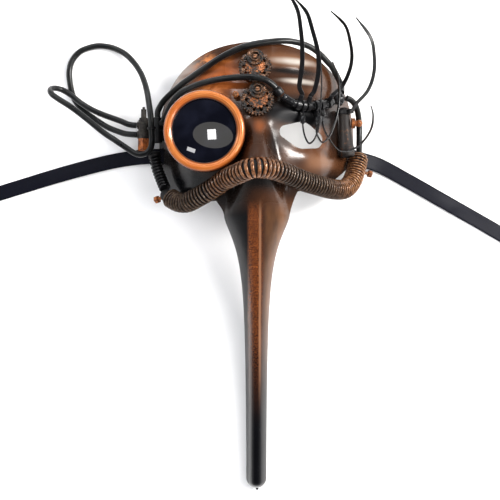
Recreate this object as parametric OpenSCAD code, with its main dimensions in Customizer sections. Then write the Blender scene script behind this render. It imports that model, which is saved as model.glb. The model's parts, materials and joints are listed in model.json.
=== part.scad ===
// Plague doctor half mask with a long beak, a round goggle, a corrugated hose,
// loops of cable, gear ornaments, cable tie lashes and two satin tie ribbons.
// Millimetres. The mask lies on its back: +Z comes out of the face, +Y goes up
// to the forehead, -Y down to the tip of the beak. The origin is in the plane
// that the rim rests on, under the bridge of the nose at eye level.

/* [Face shell] */
// Half of the width across the temples
temple_half = 84; // [68:1:104]
// Height of the forehead's top edge above eye level
forehead_top = 75; // [68:1:92]
// Depth of the face from the rim to the brow
face_depth = 64; // [52:1:78]
// Distance from eye level down to the tip of the beak
beak_reach = 299; // [240:1:360]
// Height of the ridge of the nose at its highest place
ridge_peak = 86; // [72:1:100]
// Half of the width of the beak where it leaves the cheeks
beak_root_half = 26.5; // [22:0.5:32]
// Half of the width of the beak near its tip
beak_tip_half = 8; // [6:0.5:11]
// Height of the ridge near the tip of the beak
tip_height = 16; // [12:1:22]
// Thickness of the moulded plastic
wall = 2; // [1.4:0.1:3]

/* [Goggle] */
// Diameter of the lens
lens_d = 51; // [44:1:54]
// Outside diameter of the copper retaining ring
ring_d = 63.6; // [60:0.2:72]
// Height of the top of the retaining ring above the rim's plane
ring_top = 84; // [80:1:94]
// Diameter of the hole that the shell has under the goggle
goggle_hole_d = 46; // [36:1:50]

/* [Gears] */
// Outside diameter of the large toothed wheels
wheel_d = 26.6; // [22:0.2:27]
// Outside diameter of the middle gears
middle_d = 16.4; // [14:0.2:17]
// Outside diameter of the turning gears with a hub
hub_gear_d = 14.2; // [12:0.2:14.4]
// Thickness of each gear
gear_t = 1.4; // [1:0.1:1.6]
// Diameter of the screw that each hub gear turns on
gear_pin_d = 2.4; // [1.8:0.1:3]
// Radial clearance between the screw and the hub gear
gear_clearance = 0.05; // [0.02:0.01:0.1]

/* [Hoses and cables] */
// Outside diameter of the copper corrugated hose
hose_d = 16.6; // [14:0.2:17]
// Bore of the copper corrugated hose
hose_bore = 12; // [10:0.5:13]
// Outside diameter of the short black corrugated hose
small_hose_d = 9.8; // [8:0.2:10.4]
// Diameter of the black cables
cable_d = 5; // [4:0.2:5.4]
// Diameter of the black tube above the open eye
brow_d = 6.4; // [5:0.2:6.6]
// Width of a cable tie's strap
strap_w = 3.6; // [2.5:0.1:4.8]
// Thickness of a cable tie's strap
strap_t = 1.1; // [0.9:0.1:1.3]

/* [Side fittings] */
// Diameter of the turned body of the left valve
valve_d = 9; // [7:0.5:10]
// Diameter of the temple tube at its thick end
temple_tube_d = 13.2; // [10:0.2:13.6]
// Diameter of the right valve's flange
flange_d = 8.8; // [7:0.2:10]
// Diameter of the stem that the right valve's knob turns on
stem_d = 4; // [3:0.1:5]
// Radial clearance of the stem in the flange
stem_clearance = 0.05; // [0.02:0.01:0.1]

/* [Ribbons] */
// Width of the satin ribbon
ribbon_w = 12.7; // [9:0.1:16]
// Thickness of the ribbon's plain solid
ribbon_t = 0.6; // [0.4:0.1:1]

/* [Hidden] */

glue_gap = 0.4;          // between the shell and what is glued on it
slot_y = -13;            // middle of both ribbon slots
slot_z = 7.5;            // height of both ribbon slots
goggle_at = [-41, -1];   // axis of the goggle
gear_tilt = 15;          // slope of the forehead under the gears
wheel_lift = 1.2;        // from the shell to the underside of a large wheel
hub_offset = 7.3;        // from a large wheel's centre to the hub gear's pivot

// The routes below are drawn for a mask of this half width and depth.
drawn_half = 84;
drawn_depth = 64;
function fit(p) = [p[0] * temple_half / drawn_half, p[1], p[2] * face_depth / drawn_depth];

// ---- Small functions ----
function ease(v) = let (c = min(1, max(0, v))) c * c * (3 - 2 * c);
function smooth_max(a, b, r) = (a + b + sqrt(pow(a - b, 2) + r * r)) / 2;
function unit(v) = v / norm(v);

// ---- Form of the face ----
cheek_y = -66;           // where the flare of the beak ends and the beak goes on alone
cheek_edge = -50;        // middle of the lower edge of the cheeks
cheek_turn = 36;         // height of the rounded lower corner of a cheek
flare = 6.5;             // how much wider the beak's root is at the cheeks' edge
cheek_slant = 0.11;      // slope of the cheeks' lower edge, lower under the goggle
nose_peak_y = -25;       // highest place of the nose
tip_round = 8;           // length of the rounded end of the beak

function beak_half(y) =
    beak_tip_half + (beak_root_half - beak_tip_half) / (1 + pow(max(0, cheek_y - y) / 28, 1.6));
function tip_factor(y) =
    sqrt(max(0.03, 1 - pow(max(0, tip_round - beak_reach - y) / tip_round, 2)));
function nose_half(y) = y < cheek_y
    ? beak_half(y) * tip_factor(y)
    : max(12.5, beak_root_half - (y - cheek_y) * 0.212);
function forehead_fall(y) = 0.25 * (sqrt(pow(y - 10, 2) + 64) + y - 10) / 2;
function ridge(y) = y < nose_peak_y
    ? tip_height + (ridge_peak - tip_height)
        * pow(max(0, 1 - (nose_peak_y - y) / (beak_reach + nose_peak_y)), 2.2)
    : ridge_peak - 24 * ease((y - nose_peak_y) / 45) - forehead_fall(y);
function beak_back(y) =
    45 * pow(max(0, 1 - max(0, cheek_y - y) / (beak_reach + cheek_y)), 3.2);
function cheek_fall(y) =
    10 * pow(max(0, -20 - y) / 46, 2) + 3 * pow(max(0, -56 - y) / 10, 2);
function dome(x, y) =
    face_depth * (1 - pow(abs(x) / temple_half, 2.3)) - forehead_fall(y) - cheek_fall(y);
function arch(x, y) =
    let (h = nose_half(y), q = abs(x) / h)
    beak_back(y)
    + (ridge(y) - beak_back(y)) * (q < 1 ? pow(1 - pow(q, 2.4), 0.62) : 0)
    - max(0, q - 1) * h * 2;
// Height of the shell's outer surface
function face(x, y) = max(0, smooth_max(dome(x, y), arch(x, y), 6) + 1.5);
// Half of the shell's width at a height
function half_width(y) =
    y > 0 ? temple_half * pow(1 - pow(y / forehead_top, 2.5), 0.42)
    : y > cheek_edge + cheek_turn ? temple_half
    : y > cheek_edge ? beak_root_half + flare + (temple_half - beak_root_half - flare)
        * sqrt(max(0, 1 - pow((cheek_edge + cheek_turn - y) / cheek_turn, 2)))
    : y > cheek_y ? beak_root_half + flare * pow((y - cheek_y) / (cheek_edge - cheek_y), 1.5)
    : nose_half(y);
function slant(y) = cheek_slant * ease(-y / 40) * (1 - ease((cheek_edge - y) / 16));

shell_rows = concat(
    [for (i = [1:14]) (forehead_top - 0.1) * cos(90 * (i - 1) / 14)],
    [for (i = [0:3]) (cheek_edge + cheek_turn) * i / 4],
    [for (i = [0:9]) cheek_edge + cheek_turn - cheek_turn * sin(9 * i)],
    [for (i = [0:4]) cheek_edge + (cheek_y - cheek_edge) * i / 5],
    [for (i = [0:23]) cheek_y - (beak_reach + cheek_y - tip_round) * pow(i / 24, 1.15)],
    [for (i = [0:5]) tip_round - beak_reach - tip_round * sin(15 * i)],
    [-beak_reach]);
shell_cols = 36;

function shell_point(y, u, t) =
    let (w = half_width(y), x = w * sin(90 * u), v = y + slant(y) * x,
        z = face(x, v) * (y < cheek_y ? tip_factor(y) : 1))
    [x * (1 - t / max(w, 3 * t)), v, max(z - t * (1 - pow(abs(u), 4)), 0.25 * z)];

// ---- Sweeps ----
function between(a, b, c, d, t) =
    0.5 * (2 * b + (c - a) * t + (2 * a - 5 * b + 4 * c - d) * t * t + (3 * b - a - 3 * c + d) * t * t * t);
// A smooth curve through the points of a route, with n steps between two points
function curve(p, n) = concat(
    [for (i = [0:len(p) - 2], k = [0:n - 1])
        between(p[max(i - 1, 0)], p[i], p[i + 1], p[min(i + 2, len(p) - 1)], k / n)],
    [p[len(p) - 1]]);
function route(p, n = 4) = curve([for (q = p) fit(q)], n);
function heading(p, i) = unit(p[min(i + 1, len(p) - 1)] - p[max(i - 1, 0)]);
function carried(p, side, i = 0) = i >= len(p) ? [] :
    let (t = heading(p, i), s = unit(side - t * (side * t)))
    concat([s], carried(p, s, i + 1));
function sweep_points(p, sides, outline) =
    [for (i = [0:len(p) - 1], o = outline)
        p[i] + o[0] * sides[i] + o[1] * cross(heading(p, i), sides[i])];
function ring_outline(r, n) = [for (k = [0:n - 1]) r * [cos(360 * k / n), sin(360 * k / n)]];
function wall_faces(rings, m, first = 0, inside = false) =
    [for (i = [0:rings - 2], k = [0:m - 1])
        let (a = first + i * m + k, b = first + i * m + (k + 1) % m)
        inside ? [a, b, b + m, a + m] : [a, a + m, b + m, b]];

module sweep(p, outline, side = [0, 0, 1]) {
    m = len(outline);
    last = (len(p) - 1) * m;
    polyhedron(
        sweep_points(p, carried(p, side), outline),
        concat([[for (k = [0:m - 1]) k]], wall_faces(len(p), m),
            [[for (k = [m - 1:-1:0]) last + k]]));
}

module solid_tube(p, d, n = 10) {
    sweep(p, ring_outline(d / 2, n));
}

module hollow_tube(p, d, bore, n = 14) {
    sides = carried(p, [0, 0, 1]);
    count = len(p) * n;
    last = (len(p) - 1) * n;
    polyhedron(
        concat(sweep_points(p, sides, ring_outline(d / 2, n)),
            sweep_points(p, sides, ring_outline(bore / 2, n))),
        concat(wall_faces(len(p), n), wall_faces(len(p), n, count, true),
            [for (k = [0:n - 1]) let (l = (k + 1) % n) [k, l, count + l, count + k]],
            [for (k = [0:n - 1]) let (l = (k + 1) % n)
                [last + l, last + k, count + last + k, count + last + l]]));
}

// Puts the Z axis of its children along a direction at a point
module along(p, d) {
    u = unit(d);
    translate(p) rotate([0, acos(u[2]), atan2(u[1], u[0])]) children();
}

// ---- Face shell ----
module shell_blank() {
    rows = len(shell_rows);
    c = shell_cols;
    back = rows * (c + 1);
    polyhedron(
        [for (t = [0, wall], y = shell_rows, k = [0:c]) shell_point(y, 2 * k / c - 1, t)],
        concat(
            [for (r = [0:rows - 2], k = [0:c - 1]) let (a = r * (c + 1) + k)
                [a, a + 1, a + c + 2, a + c + 1]],
            [for (r = [0:rows - 2], k = [0:c - 1]) let (a = back + r * (c + 1) + k)
                [a, a + c + 1, a + c + 2, a + 1]],
            [for (r = [0:rows - 2]) let (a = r * (c + 1))
                [a, a + c + 1, back + a + c + 1, back + a]],
            [for (r = [0:rows - 2]) let (a = r * (c + 1) + c)
                [a + c + 1, a, back + a, back + a + c + 1]],
            [for (k = [0:c - 1]) [k + 1, k, back + k, back + k + 1]],
            [for (k = [0:c - 1]) let (a = (rows - 1) * (c + 1) + k)
                [a, a + 1, back + a + 1, back + a]]));
}

module eye_opening() {
    linear_extrude(120) hull() {
        translate([23.5, 1]) circle(5.5, $fn = 32);
        translate([36.5, -1]) circle(11, $fn = 48);
        translate([46.5, -3.5]) circle(7.5, $fn = 32);
    }
}

module mask_shell() {
    color("#4a2a17") difference() {
        shell_blank();
        eye_opening();
        translate(goggle_at) cylinder(h = 120, d = goggle_hole_d, $fn = 64);
        for (s = [-1, 1])
            translate([s * (temple_half - 4) - 8, slot_y - ribbon_w / 2 - 1, slot_z - 1.5])
                cube([16, ribbon_w + 2, 3]);
    }
}

// ---- Goggle ----
cup_r = ring_d / 2 - 2.4;
cup_wall = 2.4;
seat_z = ring_top - 6;
seat_r = lens_d / 2 - 1.5;

function highest_near(x, y, d) = max([for (i = [-d, 0, d], k = [-d, 0, d]) face(x + i, y + k)]);
function cup_rim(r, n) = [for (k = [0:n - 1])
    let (x = goggle_at[0] + r * cos(360 * k / n), y = goggle_at[1] + r * sin(360 * k / n))
    [x, y, highest_near(x, y, 1.6) + glue_gap]];

module cup_skirt() {
    n = 60;
    outer = cup_rim(cup_r - 0.2, n);
    inner = cup_rim(cup_r - cup_wall, n);
    top = seat_z - 1;
    polyhedron(
        concat(outer, [for (p = outer) [p[0], p[1], top]], inner, [for (p = inner) [p[0], p[1], top]]),
        concat(
            [for (k = [0:n - 1]) let (l = (k + 1) % n) [k, k + n, l + n, l]],
            [for (k = [0:n - 1]) let (l = (k + 1) % n) [k + 2 * n, l + 2 * n, l + 3 * n, k + 3 * n]],
            [for (k = [0:n - 1]) let (l = (k + 1) % n) [k, l, l + 2 * n, k + 2 * n]],
            [for (k = [0:n - 1]) let (l = (k + 1) % n) [l + n, k + n, k + 3 * n, l + 3 * n]]));
}

module goggle_cup() {
    color("#1b1a1a") union() {
        cup_skirt();
        translate([goggle_at[0], goggle_at[1], seat_z - 3.5]) rotate_extrude($fn = 96)
            polygon([[seat_r, 1.5], [seat_r, 3.5], [cup_r, 3.5], [cup_r, 0], [cup_r - cup_wall, 0]]);
    }
}

module goggle_gasket() {
    color("#141414") translate([goggle_at[0], goggle_at[1], seat_z]) rotate_extrude($fn = 96)
        translate([seat_r, 0]) square([lens_d / 2 - seat_r, 0.8]);
}

module goggle_lens() {
    rise = 2.2;
    r = lens_d / 2;
    dome_r = (r * r + rise * rise) / (2 * rise);
    color("#20202a") translate([goggle_at[0], goggle_at[1], seat_z + 0.8]) intersection() {
        cylinder(h = 6, r = r, $fn = 96);
        translate([0, 0, 1.6 + rise - dome_r]) sphere(dome_r, $fn = 160);
    }
}

module goggle_ring() {
    inner = lens_d / 2 - 0.6;
    bore = lens_d / 2 + 0.3;
    outer = ring_d / 2;
    color("#b5653a") translate([goggle_at[0], goggle_at[1], 0]) rotate_extrude($fn = 128)
        polygon([
            [cup_r + 0.1, seat_z - 2.5], [outer - 0.6, seat_z - 2.5], [outer, seat_z - 1.6],
            [outer, ring_top - 2.6], [outer - 1, ring_top - 0.9], [outer - 2.6, ring_top],
            [outer - 4, ring_top], [inner + 0.9, ring_top - 1.3], [inner, ring_top - 2.2],
            [inner, seat_z + 2.7], [bore, seat_z + 2.7], [bore, seat_z + 0.1], [cup_r + 0.1, seat_z + 0.1]]);
}

lug_at = [-17, 30.5];

module goggle_lug() {
    z = face(lug_at[0], lug_at[1]) + 1.2;
    color("#8c4a2a") difference() {
        translate([lug_at[0], lug_at[1], z]) cylinder(h = 3, r = 2.4, $fn = 48);
        translate([lug_at[0], lug_at[1], z - 1]) cylinder(h = 5, d = 1.8, $fn = 32);
    }
}

module goggle_lug_screw() {
    z = face(lug_at[0], lug_at[1]) + 1.2;
    color("#c98a4c") translate([lug_at[0], lug_at[1], z]) {
        cylinder(h = 3, d = 1.7, $fn = 32);
        difference() {
            translate([0, 0, 3]) cylinder(h = 1.4, r = 1.6, $fn = 48);
            translate([-3, -0.3, 3.8]) cube([6, 0.6, 1]);
        }
    }
}

// ---- Gears ----
module toothed(d, teeth, depth, fill) {
    r = d / 2;
    step = 360 / teeth;
    polygon([for (k = [0:teeth - 1], c = [[-0.5, r - depth], [-0.5 * fill, r - depth],
            [-0.28 * fill, r], [0.28 * fill, r], [0.5 * fill, r - depth]])
        c[1] * [cos((k + c[0]) * step), sin((k + c[0]) * step)]]);
}

upper_at = [-1.5, 52.6];
lower_at = [0.5, 25];

// Places its children on the forehead, tilted with it; Z is the height above the shell
module on_forehead(at, offset = 0) {
    translate([at[0], at[1], face(at[0], at[1])]) rotate([-gear_tilt, 0, 0])
        translate([0, offset, 0]) children();
}

module large_wheel(at) {
    color("#3a2a20") on_forehead(at) translate([0, 0, wheel_lift]) difference() {
        linear_extrude(gear_t) difference() {
            toothed(wheel_d, 30, 2.1, 0.85);
            for (k = [0:9]) rotate(36 * k) translate([wheel_d / 2 - 4.2, 0]) circle(1.3, $fn = 24);
        }
        translate([0, hub_offset, -1]) cylinder(h = 4, d = gear_pin_d, $fn = 32);
    }
}

module middle_gear(at) {
    color("#8a4b28") on_forehead(at) translate([0, 0, wheel_lift + gear_t]) difference() {
        linear_extrude(gear_t) rotate(180 / 14) toothed(middle_d, 14, 1.8, 0.96);
        translate([0, hub_offset, -1]) cylinder(h = 4, r = gear_pin_d / 2 + 1.1, $fn = 32);
    }
}

hub_z = wheel_lift + 2 * gear_t + 0.2;

module hub_gear(at) {
    color("#33261d") on_forehead(at, hub_offset) translate([0, 0, hub_z]) difference() {
        union() {
            linear_extrude(gear_t) toothed(hub_gear_d, 24, 0.8, 0.96);
            cylinder(h = gear_t + 1.8, r = 4.3, $fn = 64);
        }
        translate([0, 0, gear_t]) cylinder(h = 4, r = 3.4, $fn = 64);
        translate([0, 0, -1]) cylinder(h = 6, r = gear_pin_d / 2 + gear_clearance, $fn = 48);
    }
}

module gear_screw(at) {
    color("#9c7450") on_forehead(at, hub_offset) {
        translate([0, 0, wheel_lift + gear_t]) cylinder(h = gear_t, r = gear_pin_d / 2 + 1, $fn = 48);
        translate([0, 0, wheel_lift]) cylinder(h = hub_z + gear_t + 0.2 - wheel_lift, d = gear_pin_d, $fn = 48);
        difference() {
            translate([0, 0, hub_z + gear_t + 0.2]) cylinder(h = 1.2, r = 1.7, $fn = 48);
            translate([-3, -0.3, hub_z + gear_t + 0.8]) cube([6, 0.6, 1]);
        }
    }
}

module wheel_upper() { large_wheel(upper_at); }
module middle_gear_upper() { middle_gear(upper_at); }
module hub_gear_upper() { hub_gear(upper_at); }
module gear_screw_upper() { gear_screw(upper_at); }
module wheel_lower() { large_wheel(lower_at); }
module middle_gear_lower() { middle_gear(lower_at); }
module hub_gear_lower() { hub_gear(lower_at); }
module gear_screw_lower() { gear_screw(lower_at); }

// ---- Hoses ----
hose_route = [[87, -15, 15.2], [84, -26, 20], [80, -36, 26], [73, -43, 34], [62, -44, 46],
    [50, -42, 57.5], [37, -39, 67], [25, -35, 76], [14, -32, 88], [3, -31, 96], [-6, -32, 96],
    [-15, -35, 88], [-24, -38, 77], [-32, -43, 69], [-41, -48, 62.5], [-49, -52, 56],
    [-57, -55, 48], [-65, -54, 40], [-72, -50, 33]];
small_hose_route = [[-86, -16, 18.2], [-84.5, -23, 19.5], [-82, -30, 22], [-79, -37, 25.5], [-76.5, -42, 29]];
hose_path = route(hose_route, 2);
small_hose_path = route(small_hose_route, 3);

module copper_hose() {
    color("#8a5230") hollow_tube(hose_path, hose_d, hose_bore);
}

module copper_hose_plug() {
    d = hose_path[0] - hose_path[1];
    color("#7a4527") along(hose_path[0] - unit(d) * 6, d) {
        cylinder(h = 6, d = hose_bore - 0.4, $fn = 48);
        translate([0, 0, 6]) cylinder(h = 2.2, d = cable_d + 3, $fn = 48);
    }
}

module hose_collar() {
    n = len(hose_path) - 1;
    h = unit(hose_path[n] - hose_path[n - 1]);
    color("#241c18") union() {
        along(hose_path[n] - h * 5, h) cylinder(h = 8, d = hose_bore - 0.4, $fn = 48);
        translate(hose_path[n] + h * 4.8) sphere(5.4, $fn = 48);
    }
}

module black_hose() {
    color("#171717") solid_tube(small_hose_path, small_hose_d, 14);
}

module black_hose_cap() {
    p = small_hose_path[0];
    color("#202020") along(p, p - small_hose_path[1]) {
        translate([0, 0, 0.4]) cylinder(h = 5, d = small_hose_d + 1, $fn = 48);
    }
}

module hose_bolt(p, d) {
    along(p, d) {
        cylinder(h = 3, d = 3, $fn = 32);
        translate([0, 0, 3]) cylinder(h = 3, d = 6.4, $fn = 6);
    }
}

module hose_bolts() {
    color("#9a5c36") {
        hose_bolt(fit([92, -28, 17.6]), [1, -0.25, -0.3]);
        hose_bolt(fit([-79.8, -49.9, 27]), [-0.8, -0.3, -0.5]);
    }
}

// ---- Left valve ----
block_at = fit([-84.4, 19, 14]);
valve_at = fit([-96, 0, 15]);
valve_port = 5.3;         // from the valve's axis to the mouth of a cable port

// Holds the left valve on the temple and takes the two cables that cross the mask
module cable_block() {
    color("#161616") difference() {
        translate(block_at) union() {
            rotate([90, 0, 0]) cylinder(h = 21, d = 8, $fn = 48);
            rotate([0, 32, 0]) translate([0, -19, -2]) cube([6.4, 16, 4]);
        }
        translate([valve_at[0], 8.5, valve_at[2]]) rotate([0, 90, 0]) cylinder(h = 20, d = 5.1, $fn = 48);
    }
}

module left_valve_body() {
    color("#2a2422") union() {
        translate([valve_at[0], 17, valve_at[2]]) rotate([90, 0, 0])
            cylinder(h = 16, d = valve_d, $fn = 64);
        translate([valve_at[0], 8.5, valve_at[2]]) rotate([0, 90, 0])
            cylinder(h = 9.6, d = 5, $fn = 48);
        for (y = [12.5, 4.5]) translate([valve_at[0], y, valve_at[2]]) rotate([0, -90, 0])
            cylinder(h = valve_port, d = cable_d + 1.4, $fn = 48);
    }
}

module left_valve_nut() {
    color("#8d4c2b") translate([valve_at[0], 1, valve_at[2]]) rotate([90, 30, 0])
        cylinder(h = 10, d = valve_d + 1.4, $fn = 6);
}

module left_valve_nozzle() {
    color("#26211f") translate([valve_at[0], 17, valve_at[2]]) rotate([-90, 0, 0]) {
        cylinder(h = 1.6, d = valve_d - 1.6, $fn = 48);
        cylinder(h = 9, d = valve_d / 2, $fn = 48);
        translate([0, 0, 9]) cylinder(h = 2, d = 2, $fn = 32);
    }
}

// ---- Right side ----
tube_top = fit([72.9, 25.5, 26.5]);
tube_end = fit([75.8, -16, 28]);
knob_y = 12.5;

module temple_tube() {
    d = tube_end - tube_top;
    color("#33221a") along(tube_top, d) {
        cylinder(h = norm(d), d1 = temple_tube_d * 0.62, d2 = temple_tube_d, $fn = 64);
    }
}

module right_valve_flange() {
    x = fit([79.5, 0, 0])[0];
    z = fit([0, 0, 26.9])[2];
    color("#a8643a") translate([x, knob_y, z]) rotate([0, 90, 0]) difference() {
        cylinder(h = 2.8, d = flange_d, $fn = 64);
        translate([0, 0, -1]) cylinder(h = 5, r = stem_d / 2 + stem_clearance, $fn = 48);
    }
}

module right_valve_knob() {
    x = fit([79.5, 0, 0])[0];
    z = fit([0, 0, 26.9])[2];
    color("#c07a46") translate([x, knob_y, z]) rotate([0, 90, 0]) {
        translate([0, 0, 0.2]) cylinder(h = 5, d = stem_d, $fn = 48);
        translate([0, 0, 3.1]) cylinder(h = 1, d = stem_d + 1.2, $fn = 48);
        translate([0, 0, 6.4]) sphere(d = 6, $fn = 48);
    }
}

// ---- Cables ----
forehead_route = [[-84.4, 19.3, 14], [-84, 25, 14], [-79.5, 32.5, 15.5], [-72, 39, 20.5], [-62, 45, 31], [-52, 50, 39.5],
    [-41, 56, 46], [-30, 62, 51], [-20, 66.5, 54], [-9, 70.5, 56], [3, 73.3, 55], [15, 75.2, 52.8],
    [25, 76.2, 49.5], [34, 75.8, 45], [42, 74.3, 40.5], [48, 71.8, 37], [54, 68, 33], [59, 63.5, 30],
    [63, 60, 27], [67, 54, 24], [70, 48, 23.5], [71.5, 43, 25], [71, 38, 29]];
goggle_cable_route = [[-81.1, 13.6, 17.6], [-78.7, 15.4, 20.1], [-76.2, 21, 21.2], [-71.3, 30, 24.2], [-64, 37, 31],
    [-55, 40, 40], [-45, 42, 48], [-35, 43, 55], [-25, 43.5, 61], [-13, 43.5, 66], [-3, 43.2, 68.5],
    [5, 41.5, 68.5], [11, 38.5, 67], [15, 35, 65.5]];
brow_route = [[20.5, 28.5, 63.5], [26, 25, 63.5], [31, 23, 62], [37, 22, 59.5], [43, 22.3, 55.8],
    [50, 23.5, 50.5], [56, 25.5, 45], [62, 28.5, 38.5]];
ear_loop_route = [[75, 33, 31], [79, 31.5, 29], [83, 28, 25], [86, 21, 20], [87.2, 12, 17],
    [87.4, 3, 16.5], [87.4, -4.5, 15.6], [87.5, -11.4, 14]];
left_loop_route = [[-102, 4.5, 15], [-107, 5, 14], [-113, 6, 12], [-120, 8.5, 10], [-128, 12, 8],
    [-136, 17, 6], [-143, 22, 4.5], [-149, 26.5, 3.2], [-154, 31.5, 2.6], [-158.5, 39, 2.6], [-161, 49, 2.6],
    [-162, 60, 2.6], [-160, 69, 2.6], [-155, 76, 2.6], [-149, 80, 2.6], [-138, 83, 2.6], [-127, 82, 3],
    [-119, 79, 4], [-112, 74.5, 6], [-105, 67, 10], [-99, 58, 15], [-95, 49, 19.5], [-92, 39, 24],
    [-90, 28, 27], [-88.5, 18, 29], [-87.8, 8, 29.5], [-87.4, 1, 29.3], [-87.5, -4.2, 28.9],
    [-88.9, -9, 28.2], [-92.3, -12.4, 27.2], [-97.3, -13.7, 26.1], [-102.5, -12.3, 25.2], [-108.2, -8.6, 24.4],
    [-113.5, -5, 23.8], [-120, -0.6, 23.2], [-127, 4, 22.9], [-135, 10.2, 23.2], [-143, 16.8, 24.2],
    [-150.5, 22.6, 25.3], [-157.5, 27.6, 26.3], [-163.3, 31.2, 26.9], [-167.8, 34.1, 26.8], [-171.6, 37.1, 25.6],
    [-174, 40.5, 22.3], [-174, 43.2, 17.8], [-171.6, 44.5, 13.3], [-167.5, 44, 9.9], [-162.9, 41.9, 8.6],
    [-158.2, 38.6, 8.2], [-151, 32.8, 8.8], [-142, 27.2, 9.6], [-133, 23, 10.4],
    [-124, 19.5, 11.6], [-116, 16.5, 13], [-109, 13.5, 14.4], [-102, 12.5, 15]];
brow_path = route(brow_route, 3);
goggle_cable_path = route(goggle_cable_route, 2);

module forehead_cable() {
    color("#1d1e1f") solid_tube(route(forehead_route, 2), cable_d);
}

module goggle_cable() {
    color("#1d1e1f") solid_tube(goggle_cable_path, cable_d);
}

module goggle_cable_ferrule() {
    a = goggle_cable_path[len(goggle_cable_path) - 1];
    b = brow_path[0];
    color("#101010") along(a, b - a) translate([0, 0, 0.5])
        cylinder(h = norm(b - a) - 2.3, d = brow_d + 0.8, $fn = 48);
}

module brow_tube() {
    color("#151515") solid_tube(brow_path, brow_d, 12);
}

module brow_junction() {
    color("#121212") translate(fit([68.7, 32.2, 31])) sphere(5.5, $fn = 48);
}

module ear_loop_cable() {
    color("#2b2f2e") solid_tube(route(ear_loop_route, 3), cable_d);
}

module left_loop_cable() {
    color("#1d1e1f") solid_tube(route(left_loop_route, 1), cable_d, 8);
}

module loop_tie() {
    color("#0c0c0c") along(fit([-87.8, 8, 29.5]), [0.07, -1, 0.016]) rotate_extrude($fn = 48)
        translate([cable_d / 2 + 0.2, -0.8]) square([1, 1.6]);
}

// ---- Cable tie lashes ----
head_size = [4.4, 3.6, 5];

// A strap round a tube, a head on it and a long tail; head_step is where the head sits along the tail
module lash_tie(at, axis, tube_d, tail, side, head_step) {
    lean = fit(tail[0]) - at;
    out = unit(lean - axis * (lean * axis));
    start = at + out * (tube_d / 2 + strap_t * 0.6);
    path = curve(concat([start, start + out * head_size[2]], [for (q = tail) fit(q)]), 2);
    color("#111111") {
        along(at, axis) rotate_extrude($fn = 40)
            translate([tube_d / 2 + 0.08, -strap_w / 2]) square([strap_t, strap_w]);
        along(path[head_step], heading(path, head_step)) cube(head_size, center = true);
        sweep(path, [[strap_w / 2, strap_t / 2], [-strap_w / 2, strap_t / 2],
            [-strap_w / 2, -strap_t / 2], [strap_w / 2, -strap_t / 2]], side);
    }
}

module brow_lash(step, tail, side, head_step = 1) {
    lash_tie(brow_path[step], heading(brow_path, step), brow_d, tail, side, head_step);
}

module lash_tie_1() {
    brow_lash(7, [[33.5, 36, 69], [35, 48, 76], [35, 61, 83], [33.5, 75, 89],
        [30.5, 90, 93], [22.5, 103, 95]], [1, 0, 0.15]);
}
module lash_tie_2() {
    brow_lash(11, [[46, 34, 63], [48.5, 47, 70], [47.5, 61, 77], [43, 76, 83],
        [38, 89, 88], [29, 98, 92]], [1, 0, 0.2]);
}
module lash_tie_3() {
    brow_lash(19, [[69, 39, 48], [74, 49, 55], [76, 60, 60], [74, 72, 65],
        [69.5, 84, 69], [58, 94, 73]], [0.5, 0, 0.8]);
}
module lash_tie_4() {
    lash_tie(tube_top + unit(tube_end - tube_top) * 4, unit(tube_end - tube_top), temple_tube_d * 0.66,
        [[82, 27, 38], [91, 37, 44], [95, 50, 50], [94.5, 64, 55], [91, 77, 59],
        [79, 92, 62]], [0.5, 0, 0.8], 1);
}
module lash_tie_5() {
    brow_lash(16, [[53.5, 9, 50], [56.5, 0, 50], [62, -8, 49], [68, -13, 47], [77, -12, 45],
        [86, -6, 44], [93.5, 5, 43], [95.5, 16, 43], [93.5, 25, 43]], [0, 0, 1]);
}
module lash_tie_6() {
    brow_lash(9, [[36.5, 7, 62], [38, -2, 62], [41.5, -8.5, 62], [46, -5, 62.5],
        [49, 4, 63], [50.5, 16, 62.5], [51.5, 30, 60], [52, 45, 58], [51.5, 60, 56]], [0, 0, 1], 3);
}
module lash_tie_7() {
    brow_lash(14, [[48, 8, 56.5], [48, 0, 58], [52, -7, 58], [57, -4, 57], [61.5, 5, 56],
        [65.5, 20, 55], [66.5, 34, 54], [65.5, 46, 53], [61.5, 59, 51]], [0, 0, 1], 3);
}

// ---- Ribbons ----
module ribbon(p, fold_at, fold_turn) {
    color("#101014") {
        sweep(p, [[ribbon_w / 2, ribbon_t / 2], [-ribbon_w / 2, ribbon_t / 2],
            [-ribbon_w / 2, -ribbon_t / 2], [ribbon_w / 2, -ribbon_t / 2]], [0, 1, 0]);
        translate(fold_at) rotate(fold_turn) translate([0, -ribbon_w / 2, 0])
            cube([60, ribbon_w, 5]);
        translate(p[0]) rotate([90, 0, 0]) cylinder(h = 11, r = 3.4, center = true, $fn = 32);
    }
}

module ribbon_left() {
    ribbon(curve([[5 - temple_half + 6, slot_y, slot_z], [4 - temple_half, slot_y, slot_z],
        [-8 - temple_half, slot_y, 5.2], [-24 - temple_half, -14, 1.4], [-126, -17, 0.6], [-150, -23, 1.4],
        [-175, -30, 2], [-200, -37.5, 0.8], [-226, -45.5, 0.6]], 3), [-225, -45.2, 0.1], 197);
}

module ribbon_right() {
    ribbon(curve([[temple_half - 11, slot_y, slot_z], [temple_half - 4, slot_y, slot_z],
        [temple_half + 8, slot_y - 3, 4.5], [temple_half + 24, -21, 1.2], [132, -34, 0.6], [160, -50, 1.2],
        [190, -67, 0.6], [216, -82, 0.6]], 3), [215, -81.5, 0.1], -29);
}

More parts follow.
